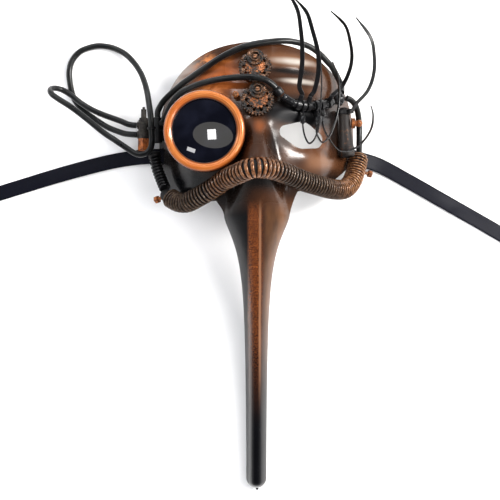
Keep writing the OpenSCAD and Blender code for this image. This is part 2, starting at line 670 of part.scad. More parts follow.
mask_shell();
goggle_cup();
goggle_gasket();
goggle_lens();
goggle_ring();
goggle_lug();
goggle_lug_screw();
wheel_upper();
middle_gear_upper();
hub_gear_upper();
gear_screw_upper();
wheel_lower();
middle_gear_lower();
hub_gear_lower();
gear_screw_lower();
copper_hose();
copper_hose_plug();
hose_collar();
black_hose();
black_hose_cap();
hose_bolts();
cable_block();
left_valve_body();
left_valve_nut();
left_valve_nozzle();
temple_tube();
right_valve_flange();
right_valve_knob();
forehead_cable();
goggle_cable();
goggle_cable_ferrule();
brow_tube();
brow_junction();
ear_loop_cable();
left_loop_cable();
loop_tie();
lash_tie_1();
lash_tie_2();
lash_tie_3();
lash_tie_4();
lash_tie_5();
lash_tie_6();
lash_tie_7();
ribbon_left();
ribbon_right();
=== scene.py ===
"""Plague doctor half mask, finished: moulded and airbrushed shell, goggle, corrugated hoses,
cables, gear ornaments, cable tie lashes and satin ribbons, on a pale floor under soft light."""

import json
import math

import bmesh
import bpy
import numpy as np
from mathutils import Matrix, Vector


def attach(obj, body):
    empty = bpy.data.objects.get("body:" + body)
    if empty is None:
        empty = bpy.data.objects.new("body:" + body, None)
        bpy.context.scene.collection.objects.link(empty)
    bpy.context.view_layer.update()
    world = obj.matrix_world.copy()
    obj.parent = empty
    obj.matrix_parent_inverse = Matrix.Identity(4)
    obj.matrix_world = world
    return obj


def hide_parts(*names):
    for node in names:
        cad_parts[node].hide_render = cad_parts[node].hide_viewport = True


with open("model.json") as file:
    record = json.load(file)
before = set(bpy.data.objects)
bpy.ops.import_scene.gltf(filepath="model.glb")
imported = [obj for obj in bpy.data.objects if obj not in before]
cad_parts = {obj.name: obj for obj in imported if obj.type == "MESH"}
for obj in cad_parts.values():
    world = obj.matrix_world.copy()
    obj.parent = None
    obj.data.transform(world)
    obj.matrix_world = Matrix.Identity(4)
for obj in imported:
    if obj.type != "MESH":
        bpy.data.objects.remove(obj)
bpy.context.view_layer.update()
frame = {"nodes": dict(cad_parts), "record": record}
nodes = frame["nodes"]
MM = 0.001


# ---- Camera, floor and light ----
VIEW_AT = (-0.0055, -0.0936, 0.760)   # straight above the mask, looking down its front
LENS_MM = 63.0


def set_camera():
    camera = bpy.data.cameras.new("camera")
    camera.lens = LENS_MM
    camera.sensor_width = 36
    camera.clip_start = 0.01
    holder = bpy.data.objects.new("camera", camera)
    holder.location = VIEW_AT
    bpy.context.scene.collection.objects.link(holder)
    bpy.context.scene.camera = holder


def area_light(name, place, aim, size, power, colour=(1, 1, 1), shape="RECTANGLE", turn=None,
               in_gloss=True):
    light = bpy.data.lights.new(name, "AREA")
    light.shape = shape
    light.size, light.size_y = size
    light.energy = power
    light.color = colour
    holder = bpy.data.objects.new(name, light)
    holder.location = place
    holder.rotation_euler = turn or (Vector(place) - Vector(aim)).to_track_quat("Z", "Y").to_euler()
    holder.visible_camera = False
    holder.visible_glossy = in_gloss
    bpy.context.scene.collection.objects.link(holder)


def set_lights():
    middle = (0, -0.05, 0.03)
    area_light("window_right", (0.85, 0.25, 0.75), middle, (0.22, 0.45), 11, (1.0, 0.98, 0.95))
    area_light("soft_right", (0.8, 0.2, 0.9), middle, (0.5, 0.7), 11, (1.0, 0.98, 0.95), in_gloss=False)
    area_light("bounce_left", (-0.9, -0.1, 0.7), middle, (0.7, 0.9), 7, (0.96, 0.97, 1.0), in_gloss=False)
    area_light("foot_fill", (0.1, -1.1, 0.6), middle, (0.7, 0.4), 4, in_gloss=False)
    area_light("side_strip", (0.58, -0.20, 0.95), middle, (0.10, 0.6), 2.6)
    area_light("top_strip", (-0.15, 0.78, 0.80), middle, (0.9, 0.10), 3.2, (0.95, 0.97, 1.0))
    area_light("left_card", (-0.8, 0.35, 0.55), middle, (0.25, 0.35), 1.0, (0.95, 0.97, 1.0))
    area_light("small_window", (0.008, 0.105, 1.28), middle, (0.125, 0.15), 0.5, turn=(0.0, 0.0, 0.06))
    area_light("side_window", (-0.30, -0.12, 1.28), middle, (0.13, 0.06), 0.12, turn=(0.0, 0.0, -0.35))
    area_light("grey_card", (0.03, 0.10, 1.32), middle, (0.62, 0.40), 0.44, (1.0, 0.97, 0.86), "ELLIPSE",
               (0.0, 0.0, -0.1))
    area_light("under_eye", (0.040, 0.010, 0.044), (0.040, 0.010, 0), (0.05, 0.04), 0.021, (1.0, 0.98, 0.95))
    world = bpy.data.worlds.new("room")
    world.use_nodes = True
    tree = world.node_tree
    back = tree.nodes["Background"]
    coords = tree.nodes.new("ShaderNodeTexCoord")
    split = tree.nodes.new("ShaderNodeSeparateXYZ")
    ramp = tree.nodes.new("ShaderNodeValToRGB")
    tree.links.new(coords.outputs["Generated"], split.inputs[0])
    tree.links.new(split.outputs["Z"], ramp.inputs[0])
    tree.links.new(ramp.outputs[0], back.inputs["Color"])
    ramp.color_ramp.elements[0].position = 0.30
    ramp.color_ramp.elements[0].color = (0.62, 0.62, 0.62, 1)
    ramp.color_ramp.elements[1].position = 0.93
    ramp.color_ramp.elements[1].color = (0.04, 0.042, 0.05, 1)
    middle_stop = ramp.color_ramp.elements.new(0.66)
    middle_stop.color = (0.15, 0.15, 0.16, 1)
    back.inputs["Strength"].default_value = 1.0
    bpy.context.scene.world = world
    bpy.context.scene.view_settings.view_transform = "Standard"
    bpy.context.scene.view_settings.look = "Medium High Contrast"


# ---- Shader sums ----
class Amount:
    """A number that a finish works out at each point; sums of amounts become its nodes."""

    def __init__(self, finish, socket):
        self.finish = finish
        self.socket = socket

    def __add__(self, other): return self.finish.maths("ADD", self, other)
    def __radd__(self, other): return self.finish.maths("ADD", other, self)
    def __sub__(self, other): return self.finish.maths("SUBTRACT", self, other)
    def __rsub__(self, other): return self.finish.maths("SUBTRACT", other, self)
    def __mul__(self, other): return self.finish.maths("MULTIPLY", self, other)
    def __rmul__(self, other): return self.finish.maths("MULTIPLY", other, self)
    def __truediv__(self, other): return self.finish.maths("DIVIDE", self, other)
    def __rtruediv__(self, other): return self.finish.maths("DIVIDE", other, self)
    def __pow__(self, other): return self.finish.maths("POWER", self, other)

    def most(self, other): return self.finish.maths("MAXIMUM", self, other)
    def least(self, other): return self.finish.maths("MINIMUM", self, other)

    def ease(self, low, high):
        """0 below low and 1 above high, smooth between."""
        made = self.finish.node("ShaderNodeMapRange", {"interpolation_type": "SMOOTHSTEP"},
                                {"Value": self, "From Min": low, "From Max": high})
        return Amount(self.finish, made.outputs["Result"])


class Finish:
    """A paint, rubber, metal or cloth with its own nodes."""

    def __init__(self, name, **constants):
        self.material = bpy.data.materials.new(name)
        self.material.use_nodes = True
        self.tree = self.material.node_tree
        self.shader = self.tree.nodes["Principled BSDF"]
        self.place = self.node("ShaderNodeTexCoord").outputs["Object"]
        for key, value in constants.items():
            self.shader.inputs[key.replace("_", " ")].default_value = value

    def node(self, kind, settings=None, sockets=None):
        """Adds a node: its settings first, then the values or links of its sockets."""
        made = self.tree.nodes.new(kind)
        for key, value in (settings or {}).items():
            setattr(made, key, value)
        for key, value in (sockets or {}).items():
            value = value.socket if isinstance(value, Amount) else value
            if isinstance(value, bpy.types.NodeSocket):
                self.tree.links.new(value, made.inputs[key])
            else:
                made.inputs[key].default_value = value
        return made

    def maths(self, operation, first, second):
        made = self.node("ShaderNodeMath", {"operation": operation}, {0: first, 1: second})
        return Amount(self, made.outputs[0])

    def moved(self, scale):
        return self.node("ShaderNodeMapping", {}, {"Vector": self.place, "Scale": scale}).outputs[0]

    def noise(self, scale, detail=3.0, rough=0.55, stretch=None, bend=0.0):
        where = self.moved(stretch) if stretch else self.place
        made = self.node("ShaderNodeTexNoise", {}, {"Vector": where, "Scale": scale, "Detail": detail,
                                                    "Roughness": rough, "Distortion": bend})
        return Amount(self, made.outputs["Fac"])

    def axis(self, letter):
        return Amount(self, self.node("ShaderNodeSeparateXYZ", {}, {0: self.place}).outputs[letter])

    def along_piece(self, name):
        return Amount(self, self.node("ShaderNodeAttribute", {"attribute_name": name}).outputs["Fac"])

    def spot(self, x, y, wide, tall, wander=0.0):
        """1 at a place in plan (mm) and 0 beyond its half width and half height."""
        scale = (1000 / wide, 1000 / tall, 0)
        moved = self.node("ShaderNodeMapping", {}, {
            "Vector": self.place, "Scale": scale, "Location": (-x / wide, -y / tall, 0)}).outputs[0]
        length = self.node("ShaderNodeVectorMath", {"operation": "LENGTH"}, {0: moved}).outputs["Value"]
        away = Amount(self, length)
        if wander:
            away = away + (self.wobble - 0.5) * wander
        return 1 - away.ease(0.0, 1.0)

    def mix(self, below, above, share):
        made = self.node("ShaderNodeMix", {"data_type": "RGBA"}, {0: share})
        for index, value in ((6, below), (7, above)):
            if isinstance(value, bpy.types.NodeSocket):
                self.tree.links.new(value, made.inputs[index])
            else:
                made.inputs[index].default_value = (*value, 1)
        return made.outputs[2]

    def feed(self, socket, value):
        value = value.socket if isinstance(value, Amount) else value
        self.tree.links.new(value, self.shader.inputs[socket])

    def bump(self, height, depth_mm, strength=1.0):
        made = self.node("ShaderNodeBump", {}, {"Height": height, "Distance": depth_mm * MM,
                                                "Strength": strength})
        self.feed("Normal", made.outputs[0])


# ---- Finishes ----
BLACK = (0.004, 0.004, 0.005)
# Near-black used for soot and overspray, and for painted shade round the goggle and under the hose
SOOT_AND_SHADE = (0.012, 0.009, 0.008)
UMBER = (0.038, 0.016, 0.008)
BRONZE = (0.085, 0.036, 0.017)
TAN = (0.26, 0.135, 0.075)
COPPER = (0.40, 0.115, 0.028)
RIDGE_COPPER = (0.19, 0.058, 0.016)
BRIGHT_COPPER = (0.72, 0.27, 0.085)
# Pale grey for painted sheen and highlights on the forehead
PAINTED_SHEEN_GREY = (0.42, 0.38, 0.34)
BEAK_TAN = (0.15, 0.068, 0.029)


def shell_paint():
    """Black gloss plastic, airbrushed in copper, bronze and tan, and darker round the eye opening; the black
    round the goggle and under the hose is partly its paint and partly painted shade, with a painted shadow
    beside the temple pipe and painted highlights and sheen on the forehead, cheek and beak ridge.
    """
    f = Finish("shell_paint", Coat_Roughness=0.13, Specular_IOR_Level=0.3)
    f.wobble = f.noise(22, 3, 0.55)
    streaks = f.noise(60, 4, 0.6, stretch=(0.25, 1.0, 1.0), bend=1.2)
    colour = f.mix(UMBER, BRONZE, f.noise(18, 4, 0.6).ease(0.35, 0.75))
    layers = [
        # Painted sheen: pale grey where the forehead turns away at its top left
        (PAINTED_SHEEN_GREY, f.spot(-62, 52, 30, 30, 0.5) * 0.7),
        (COPPER, f.spot(-32, 46, 44, 22, 0.5) * (streaks.ease(0.25, 0.6) * 0.5 + 0.5)),
        (BRIGHT_COPPER, f.spot(-38, 62, 24, 9, 0.9) * streaks.ease(0.42, 0.68)),
        (BRIGHT_COPPER, f.spot(-34, 36, 28, 10, 0.9) * streaks.ease(0.38, 0.66) * 0.9),
        (UMBER, f.spot(-44, 52, 30, 4, 0.9) * 0.7),
        # Painted highlight bands on the forehead folds, pale tan and grey, with a painted shade band between
        # them
        (TAN, f.spot(26, 61, 34, 9, 0.5) * 0.7),
        (PAINTED_SHEEN_GREY, f.spot(30, 60, 26, 5, 0.5) * 1.2),
        (SOOT_AND_SHADE, f.spot(28, 51.5, 36, 4.5, 0.5) * 1.3),
        (PAINTED_SHEEN_GREY, f.spot(34, 43.5, 24, 3.5, 0.6) * 1.1),
        (BRONZE, f.spot(34, 36, 30, 6, 0.7) * 0.9),
        (UMBER, f.spot(12, 33, 14, 24, 0.6)),
        (BRONZE, f.spot(46, -18, 32, 17, 0.5)),
        # Tan on the cheek bulge: partly the cheek's paint, partly a painted highlight
        (TAN, f.spot(52, -22, 22, 10, 0.8) * 0.45),
        (SOOT_AND_SHADE, f.spot(24, -4, 10, 16, 0.8) * 0.8),
        (UMBER, f.spot(32, -22, 12, 10, 0.8) * 0.9),
        (BRONZE, f.spot(2, 12, 15, 20, 0.6) * 0.9),
        (COPPER, f.spot(1, 4, 7, 8, 0.8) * 0.3),
        (SOOT_AND_SHADE, f.spot(14, -8, 9, 24, 0.6)),
        (SOOT_AND_SHADE, f.spot(36, 18, 50, 16, 0.35) * 2.0),
        (BLACK, f.spot(38, 15, 42, 12, 0.35) * 2.0),
        # Painted shadow of the temple pipe, on the shell just left of it
        (SOOT_AND_SHADE, f.spot(64, 4, 11, 30, 0.35)),
        # Painted shade, partly the mask's own black airbrush: dark round the goggle cup, at the left cheek
        # and under the hose
        (SOOT_AND_SHADE, f.spot(-44, -4, 38, 42, 0.2) * 1.5),
        (SOOT_AND_SHADE, f.spot(-76, -22, 44, 52, 0.3) * 1.5),
        (BLACK, f.spot(-56, -42, 44, 22, 0.3) * 1.5),
        (SOOT_AND_SHADE, f.spot(-22, -48, 26, 26, 0.3) * 1.4),
        (SOOT_AND_SHADE, f.spot(66, -38, 28, 16, 0.3) * 1.2),
        (SOOT_AND_SHADE, f.spot(0, -38, 40, 15, 0.3) * 1.2),
    ]
    for paint, share in layers:
        colour = f.mix(colour, paint, share.least(1.0).most(0.0))
    # The beak: copper along the ridge, black flanks, tan on the right, black towards the tip
    x, y = f.axis("X"), f.axis("Y")
    on_beak = 1 - y.ease(-0.068, -0.052)
    drift = (f.wobble - 0.5) * 0.002
    ridge = (x + drift).ease(-0.0085, -0.0055) * (1 - (x + drift).ease(0.001, 0.008))
    specks = f.noise(1100, 2, 0.6).ease(0.42, 0.60) * 0.75 + 0.25
    fade = y.ease(-0.215, -0.12) * 0.75 + 0.25
    right = (x - 0.0035).ease(0.0, 0.006) * y.ease(-0.24, -0.12)
    beak = f.mix(BLACK, SOOT_AND_SHADE, f.noise(45, 3, 0.5).ease(0.4, 0.8))
    tan_streaks = f.noise(30, 3, 0.6, stretch=(3.0, 0.5, 1.0)).ease(0.3, 0.7) * 0.5 + 0.35
    beak = f.mix(beak, BEAK_TAN, right * tan_streaks)
    beak = f.mix(beak, RIDGE_COPPER, ridge * fade * specks)
    # A painted highlight: a thin tan line just right of the beak's ridge
    painted_ridge_highlight = (x + drift * 0.5).ease(0.0012, 0.0024) * (1 - (x + drift * 0.5).ease(0.0026, 0.0044))
    beak = f.mix(beak, TAN, painted_ridge_highlight * y.ease(-0.25, -0.16) * 0.8)
    beak = f.mix(beak, BLACK, 1 - y.ease(-0.245, -0.195))
    colour = f.mix(colour, beak, on_beak)
    # Fine overspray and rubbing on everything
    grain = f.noise(1400, 2, 0.7).ease(0.55, 0.8)
    colour = f.mix(colour, SOOT_AND_SHADE, grain * 0.22)
    f.feed("Base Color", colour)
    rough = f.noise(30, 4, 0.6) * 0.10 + 0.20 + grain * 0.06
    dull = f.spot(21, 0, 17, 20, 1.0) + f.spot(38, 8, 26, 7, 1.0) * 0.6 + f.spot(26, 15, 26, 12, 0.6)
    dull = dull + f.spot(-17, 55, 12, 14, 0.6) + f.spot(0, -20, 14, 12, 0.6)
    dull = (dull + on_beak * (1 - ridge) * 0.85).least(1.0)
    f.feed("Roughness", rough + dull * 0.20)
    f.feed("Coat Weight", (f.noise(12, 2, 0.5) * 0.3 + on_beak * 0.4 + 0.25) * (1 - dull))
    f.feed("Metallic", f.noise(25, 3, 0.5).ease(0.35, 0.8) * 0.22)
    orange_peel = f.noise(190, 2, 0.5) * 0.7 + f.noise(900, 2, 0.5) * 0.3
    f.bump(orange_peel, 0.22, 0.35)
    return f


def shell_inside():
    f = Finish("shell_inside", Specular_IOR_Level=0.4)
    cloud = f.noise(40, 4, 0.6)
    f.feed("Base Color", f.mix((0.010, 0.009, 0.009), (0.035, 0.024, 0.018), cloud.ease(0.4, 0.8)))
    f.feed("Roughness", cloud * 0.2 + 0.42)
    f.bump(f.noise(500, 3, 0.6), 0.12, 0.4)
    return f


def worn_metal(name, dark, bright, metallic=0.55, rough=0.36, rub=(0.42, 0.66), scale=420, pits=0.25):
    """Painted or aged metal: dark in the pits, rubbed bright on the high places."""
    f = Finish(name, Specular_IOR_Level=0.6)
    rubbed = (f.noise(scale, 4, 0.65) * 0.6 + f.noise(scale * 0.22, 3, 0.5) * 0.4).ease(*rub)
    f.feed("Base Color", f.mix(dark, bright, rubbed))
    f.feed("Roughness", (1 - rubbed) * 0.25 + rough)
    f.feed("Metallic", rubbed * metallic)
    f.bump(f.noise(scale * 2, 3, 0.6) * 0.5 + rubbed * 0.5, pits, 0.6)
    return f


def copper_ring_paint():
    f = Finish("copper_ring_paint", Coat_Weight=0.35, Coat_Roughness=0.18, Specular_IOR_Level=0.55)
    streak = f.noise(240, 4, 0.6, stretch=(0.3, 1.0, 1.0), bend=0.6)
    cloud = f.noise(38, 3, 0.5)
    colour = f.mix((0.36, 0.10, 0.020), (0.52, 0.19, 0.05), cloud.ease(0.3, 0.75))
    colour = f.mix(colour, (0.17, 0.04, 0.012), streak.ease(0.60, 0.85) * 0.6)
    x, y = f.axis("X") - GOGGLE_AT[0] * MM, f.axis("Y") - GOGGLE_AT[1] * MM
    r = (x * x + y * y) ** 0.5
    # Painted shade: darker at the ring's outer wall and round its inner bead
    edges = (r.ease(0.0304, 0.0314) + 1 - r.ease(0.0258, 0.0266)).least(1.0)
    colour = f.mix(colour, (0.10, 0.022, 0.006), edges * 0.75)
    f.feed("Base Color", colour)
    f.feed("Roughness", streak * 0.14 + 0.18)
    f.feed("Metallic", cloud.ease(0.2, 0.8) * 0.35 + 0.12)
    f.bump(streak * 0.5 + f.noise(900, 2, 0.5) * 0.5, 0.08, 0.4)
    return f


def black_plastic(name="black_plastic", rough=0.34, dust=0.25, scale=300):
    f = Finish(name, Specular_IOR_Level=0.5)
    film = f.noise(scale, 4, 0.6)
    f.feed("Base Color", f.mix((0.006, 0.006, 0.007), (0.035, 0.034, 0.033), film.ease(0.45, 0.8) * dust))
    f.feed("Roughness", film * 0.18 + rough - 0.05)
    f.bump(f.noise(scale * 3, 2, 0.6), 0.05, 0.35)
    return f


def rubber_cable():
    """Black rubber sleeve, slightly greyed, with faint drawing lines."""
    f = Finish("rubber_cable", Specular_IOR_Level=0.5, Sheen_Weight=0.05, Sheen_Roughness=0.4)
    film = f.noise(70, 4, 0.6)
    fine = f.noise(900, 2, 0.6)
    colour = f.mix((0.006, 0.0065, 0.007), (0.022, 0.023, 0.022), film.ease(0.35, 0.8) * 0.7)
    f.feed("Base Color", f.mix(colour, (0.05, 0.048, 0.043), fine.ease(0.68, 0.85) * 0.2))
    f.feed("Roughness", film * 0.16 + 0.22)
    f.bump(fine * 0.6 + film * 0.4, 0.06, 0.4)
    return f


def dark_lens():
    f = Finish("dark_lens", Coat_Weight=1.0, Coat_Roughness=0.01, Specular_IOR_Level=0.7, IOR=1.55)
    smear = f.noise(60, 3, 0.5)
    f.feed("Base Color", f.mix((0.0025, 0.0028, 0.006), (0.008, 0.009, 0.016), smear.ease(0.3, 0.8)))
    f.feed("Roughness", smear.ease(0.5, 0.9) * 0.05 + 0.015)
    f.bump(f.noise(12, 1, 0.4), 0.05, 0.1)
    return f


def hose_copper():
    """Copper rubbed over black ribs: bright over the nose and at the right end, dull between."""
    f = Finish("hose_copper", Specular_IOR_Level=0.6, Coat_Weight=0.15)
    f.wobble = f.noise(40, 3, 0.5)
    rub = f.noise(360, 3, 0.55)
    colour = f.mix((0.04, 0.025, 0.017), (0.14, 0.095, 0.066), rub.ease(0.38, 0.7))
    bright = f.spot(0, -32, 34, 30, 0.4) + f.spot(86, -34, 34, 34, 0.3) + f.spot(-30, -42, 16, 20, 0.4) * 0.6
    glow = f.mix((0.07, 0.028, 0.013), (0.30, 0.135, 0.06), rub.ease(0.36, 0.66))
    colour = f.mix(colour, glow, bright.least(1.0))
    colour = f.mix(colour, (0.03, 0.019, 0.014), (f.spot(26, -42, 14, 20, 0.3) * 0.7).least(1.0))
    end_glow = f.spot(90, -34, 24, 34, 0.6)
    colour = f.mix(colour, (0.30, 0.155, 0.075), end_glow * rub.ease(0.3, 0.6) * 0.8)
    f.feed("Base Color", colour)
    f.feed("Roughness", (1 - rub) * 0.16 + 0.12)
    f.feed("Metallic", rub.ease(0.3, 0.7) * 0.4 * (1 - end_glow))
    f.bump(rub * 0.7 + f.noise(1500, 2, 0.5) * 0.3, 0.06, 0.4)
    return f


def satin_cloth():
    """Black satin: long smooth floats across, fine cross threads, woven edges."""
    f = Finish("satin_cloth", Specular_IOR_Level=0.2, Sheen_Weight=0.06, Sheen_Roughness=0.3,
               Anisotropic=0.55)
    across, length = f.along_piece("across"), f.along_piece("length")
    warp = f.maths("SINE", across * 2400.0, 0.0)
    weft = f.maths("SINE", length * 9000.0 + across * 800.0, 0.0)
    fine = f.noise(2600, 2, 0.6)
    edge = (((across - 0.5) * (across - 0.5)) ** 0.5).ease(0.44, 0.48)
    colour = f.mix((0.003, 0.003, 0.006), (0.010, 0.011, 0.020), fine.ease(0.3, 0.8))
    colour = f.mix(colour, (0.004, 0.004, 0.005), edge * 0.6)
    f.feed("Base Color", colour)
    f.feed("Roughness", fine * 0.10 + edge * 0.15 + 0.40)
    height = warp * 0.22 + weft * 0.25 + fine * 0.3 + edge * 1.5
    f.bump(height, 0.04, 0.35)
    return f


def floor_finish():
    f = Finish("floor_cloth", Specular_IOR_Level=0.1)
    cloud = f.noise(6, 3, 0.5)
    f.feed("Base Color", f.mix((0.80, 0.80, 0.80), (0.86, 0.855, 0.86), cloud.ease(0.3, 0.7)))
    f.feed("Roughness", cloud * 0.1 + 0.85)
    f.bump(f.noise(9, 2, 0.4), 3.0, 0.25)
    return f


FINISHES = {}


def set_finishes():
    FINISHES.update({
        "shell": shell_paint(),
        "shell_inside": shell_inside(),
        "goggle_black": black_plastic("goggle_black", 0.30, 0.15),
        "rubber": black_plastic("gasket_rubber", 0.55, 0.5),
        "lens": dark_lens(),
        "copper_ring": copper_ring_paint(),
        "copper_fitting": worn_metal("copper_fitting", (0.05, 0.018, 0.008), (0.42, 0.15, 0.045),
                                 0.6, 0.22, (0.36, 0.60)),
        "fastener": worn_metal("worn_fastener", (0.03, 0.014, 0.008), (0.30, 0.15, 0.08),
                                 0.75, 0.24, (0.35, 0.6), 700),
        "dark_bronze": worn_metal("dark_bronze", (0.004, 0.003, 0.002), (0.17, 0.085, 0.045),
                                 0.5, 0.20, (0.46, 0.62), 750),
        "copper_gear": worn_metal("copper_gear", (0.012, 0.006, 0.003), (0.36, 0.135, 0.05),
                                 0.5, 0.20, (0.44, 0.60), 520),
        "copper_hose": hose_copper(),
        "hose_groove": black_plastic("hose_groove", 0.6, 0.05),
        "black_plastic": black_plastic(),
        "black_hose": black_plastic("black_hose_gloss", 0.20, 0.35, 220),
        "valve_dark": worn_metal("valve_dusty", (0.012, 0.011, 0.010), (0.085, 0.072, 0.060),
                                 0.2, 0.48, (0.38, 0.75), 380, 0.35),
        "rusty_copper": worn_metal("rusty_copper", (0.045, 0.014, 0.006), (0.50, 0.165, 0.05),
                                 0.35, 0.42, (0.34, 0.62), 520, 0.5),
        "brown_tube": worn_metal("brown_tube", (0.007, 0.004, 0.003), (0.22, 0.085, 0.036),
                                 0.4, 0.34, (0.54, 0.74), 460),
        "cable": rubber_cable(),
        "brow_rubber": black_plastic("brow_rubber", 0.22, 0.2, 260),
        "nylon": black_plastic("tie_nylon", 0.27, 0.3, 500),
        "satin": satin_cloth(),
        "floor": floor_finish(),
    })


# ---- Making pieces ----
def add_mesh(name, points_mm, faces, sharp=38, outwards=True):
    """A mesh piece from points in millimetres."""
    mesh = bpy.data.meshes.new(name)
    mesh.from_pydata((np.asarray(points_mm, float) * MM).tolist(), [], [list(f) for f in faces])
    piece = bpy.data.objects.new(name, mesh)
    bpy.context.scene.collection.objects.link(piece)
    if outwards:
        face_outwards(mesh)
    mesh.shade_smooth()
    mesh.set_sharp_from_angle(angle=math.radians(sharp))
    return piece


def face_outwards(mesh, merge=1e-6):
    work = bmesh.new()
    work.from_mesh(mesh)
    bmesh.ops.remove_doubles(work, verts=work.verts, dist=merge)
    bmesh.ops.recalc_face_normals(work, faces=work.faces)
    work.to_mesh(mesh)
    work.free()


def finish_piece(piece, finish, body="mask", stands_for=()):
    piece.data.materials.clear()
    piece.data.materials.append(FINISHES[finish].material)
    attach(piece, body)
    if stands_for:
        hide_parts(*stands_for)
    return piece


def joined(name, pieces, sharp=38):
    """One mesh piece from several meshes."""
    points, faces = [], []
    for piece in pieces:
        first = len(points)
        points += [v.co / MM for v in piece.data.vertices]
        faces += [[first + i for i in p.vertices] for p in piece.data.polygons]
        old = piece.data
        bpy.data.objects.remove(piece)
        bpy.data.meshes.remove(old)
    return add_mesh(name, points, faces, sharp, outwards=False)


def smooth_route(points, steps):
    """A smooth curve through the points, with a number of steps between two of them."""
    p = np.array(points, float)
    ends = np.vstack([p[0], p, p[-1]])
    out = []
    for i in range(len(p) - 1):
        a, b, c, d = ends[i], ends[i + 1], ends[i + 2], ends[i + 3]
        for t in np.arange(steps) / steps:
            out.append(0.5 * (2 * b + (c - a) * t + (2 * a - 5 * b + 4 * c - d) * t * t
                              + (3 * b - a - 3 * c + d) * t ** 3))
    return np.array(out + [p[-1]])


def unit(v):
    return np.asarray(v, float) / np.linalg.norm(v)


def length_of(path):
    return float(np.linalg.norm(np.diff(path, axis=0), axis=1).sum())


def spaced(path, gaps):
    """Points and headings along a path at the given distances from its start."""
    steps = np.linalg.norm(np.diff(path, axis=0), axis=1)
    along = np.concatenate([[0], np.cumsum(steps)])
    places = np.stack([np.interp(gaps, along, path[:, k]) for k in range(3)], axis=1)
    ahead = np.stack([np.interp(np.array(gaps) + 0.4, along, path[:, k]) for k in range(3)], axis=1)
    behind = np.stack([np.interp(np.array(gaps) - 0.4, along, path[:, k]) for k in range(3)], axis=1)
    return places, np.array([unit(v) for v in ahead - behind])


def carried_frames(path, side):
    """For each point of a path its heading and two directions across it, carried without twist."""
    heads = [unit(path[min(i + 1, len(path) - 1)] - path[max(i - 1, 0)]) for i in range(len(path))]
    first, second = [], []
    s = np.array(side, float)
    for t in heads:
        s = unit(s - t * np.dot(s, t))
        first.append(s)
        second.append(np.cross(t, s))
    return np.array(heads), np.array(first), np.array(second)


def sweep(name, path, outlines, side=(0, 0, 1), sharp=38, closed=False):
    """A solid along a path. outlines is one outline, or one for each point of the path."""
    outlines = np.asarray(outlines, float)
    if outlines.ndim == 2:
        outlines = np.repeat(outlines[None], len(path), axis=0)
    _, a, b = carried_frames(path, side)
    m = outlines.shape[1]
    points = (path[:, None] + outlines[..., :1] * a[:, None] + outlines[..., 1:] * b[:, None]).reshape(-1, 3)
    rings = len(path)
    faces = [(i * m + k, (i + 1) % rings * m + k, (i + 1) % rings * m + (k + 1) % m, i * m + (k + 1) % m)
             for i in range(rings if closed else rings - 1) for k in range(m)]
    if not closed:
        faces += [tuple(range(m)), tuple(range((rings - 1) * m + m - 1, (rings - 1) * m - 1, -1))]
    return add_mesh(name, points, faces, sharp)


def round_outline(radius, sides):
    turn = np.arange(sides) * 2 * math.pi / sides
    return np.stack([radius * np.cos(turn), radius * np.sin(turn)], axis=1)


def tube(name, path, radii, sides=24, **more):
    radii = np.broadcast_to(radii, (len(path),))
    return sweep(name, path, np.array([round_outline(r, sides) for r in radii]), **more)


def flat_outline(width, thick, corner=0.25):
    """A rounded strap section, its width along the first direction."""
    w, t, c = width / 2, thick / 2, min(corner, thick * 0.45)
    return np.array([(w, t - c), (w - c, t), (0, t), (c - w, t), (-w, t - c), (-w, c - t),
                     (c - w, -t), (0, -t), (w - c, -t), (w, c - t)])


def turned(direction):
    """The rotation that takes Z to a direction, as the CAD's along() does."""
    u = unit(direction)
    return (Matrix.Rotation(math.atan2(u[1], u[0]), 4, "Z")
            @ Matrix.Rotation(math.acos(max(-1, min(1, u[2]))), 4, "Y"))


def lathe(name, profile, at, direction=(0, 0, 1), sides=96, sharp=30):
    """A turned piece: profile is (radius, height) pairs from one end to the other; radius 0 closes it."""
    turn = turned(direction)
    points, faces, rows = [], [], []
    for r, h in profile:
        count = 1 if r < 1e-6 else sides
        rows.append((len(points), count))
        for k in range(count):
            a = 2 * math.pi * k / sides
            points.append(np.array(turn @ Vector((r * math.cos(a), r * math.sin(a), h))) + np.array(at))
    pairs = list(zip(rows, rows[1:]))
    if rows[0][1] > 1 and rows[-1][1] > 1:
        pairs.append((rows[-1], rows[0]))
    for (a, na), (b, nb) in pairs:
        for k in range(sides):
            l = (k + 1) % sides
            if na == 1:
                faces.append((a, b + k, b + l))
            elif nb == 1:
                faces.append((a + k, b, a + l))
            else:
                faces.append((a + k, b + k, b + l, a + l))
    return add_mesh(name, points, faces, sharp)


def rounded_block(name, size, at, matrix, soft=0.5, turn=0.0):
    """A moulded block with softened edges."""
    work = bmesh.new()
    bmesh.ops.create_cube(work, size=1.0)
    bmesh.ops.scale(work, vec=size, verts=work.verts)
    bmesh.ops.bevel(work, geom=work.edges[:], offset=soft, segments=3, profile=0.5, affect="EDGES")
    work.transform(Matrix.Translation(Vector(at)) @ matrix @ Matrix.Rotation(turn, 4, "Z"))
    points = [v.co.copy() for v in work.verts]
    faces = [[v.index for v in f.verts] for f in work.faces]
    work.free()
    return add_mesh(name, points, faces, 50)


# ---- Repeats, by geometry nodes ----
RING_SIDES, RIB_SIDES = 44, 10


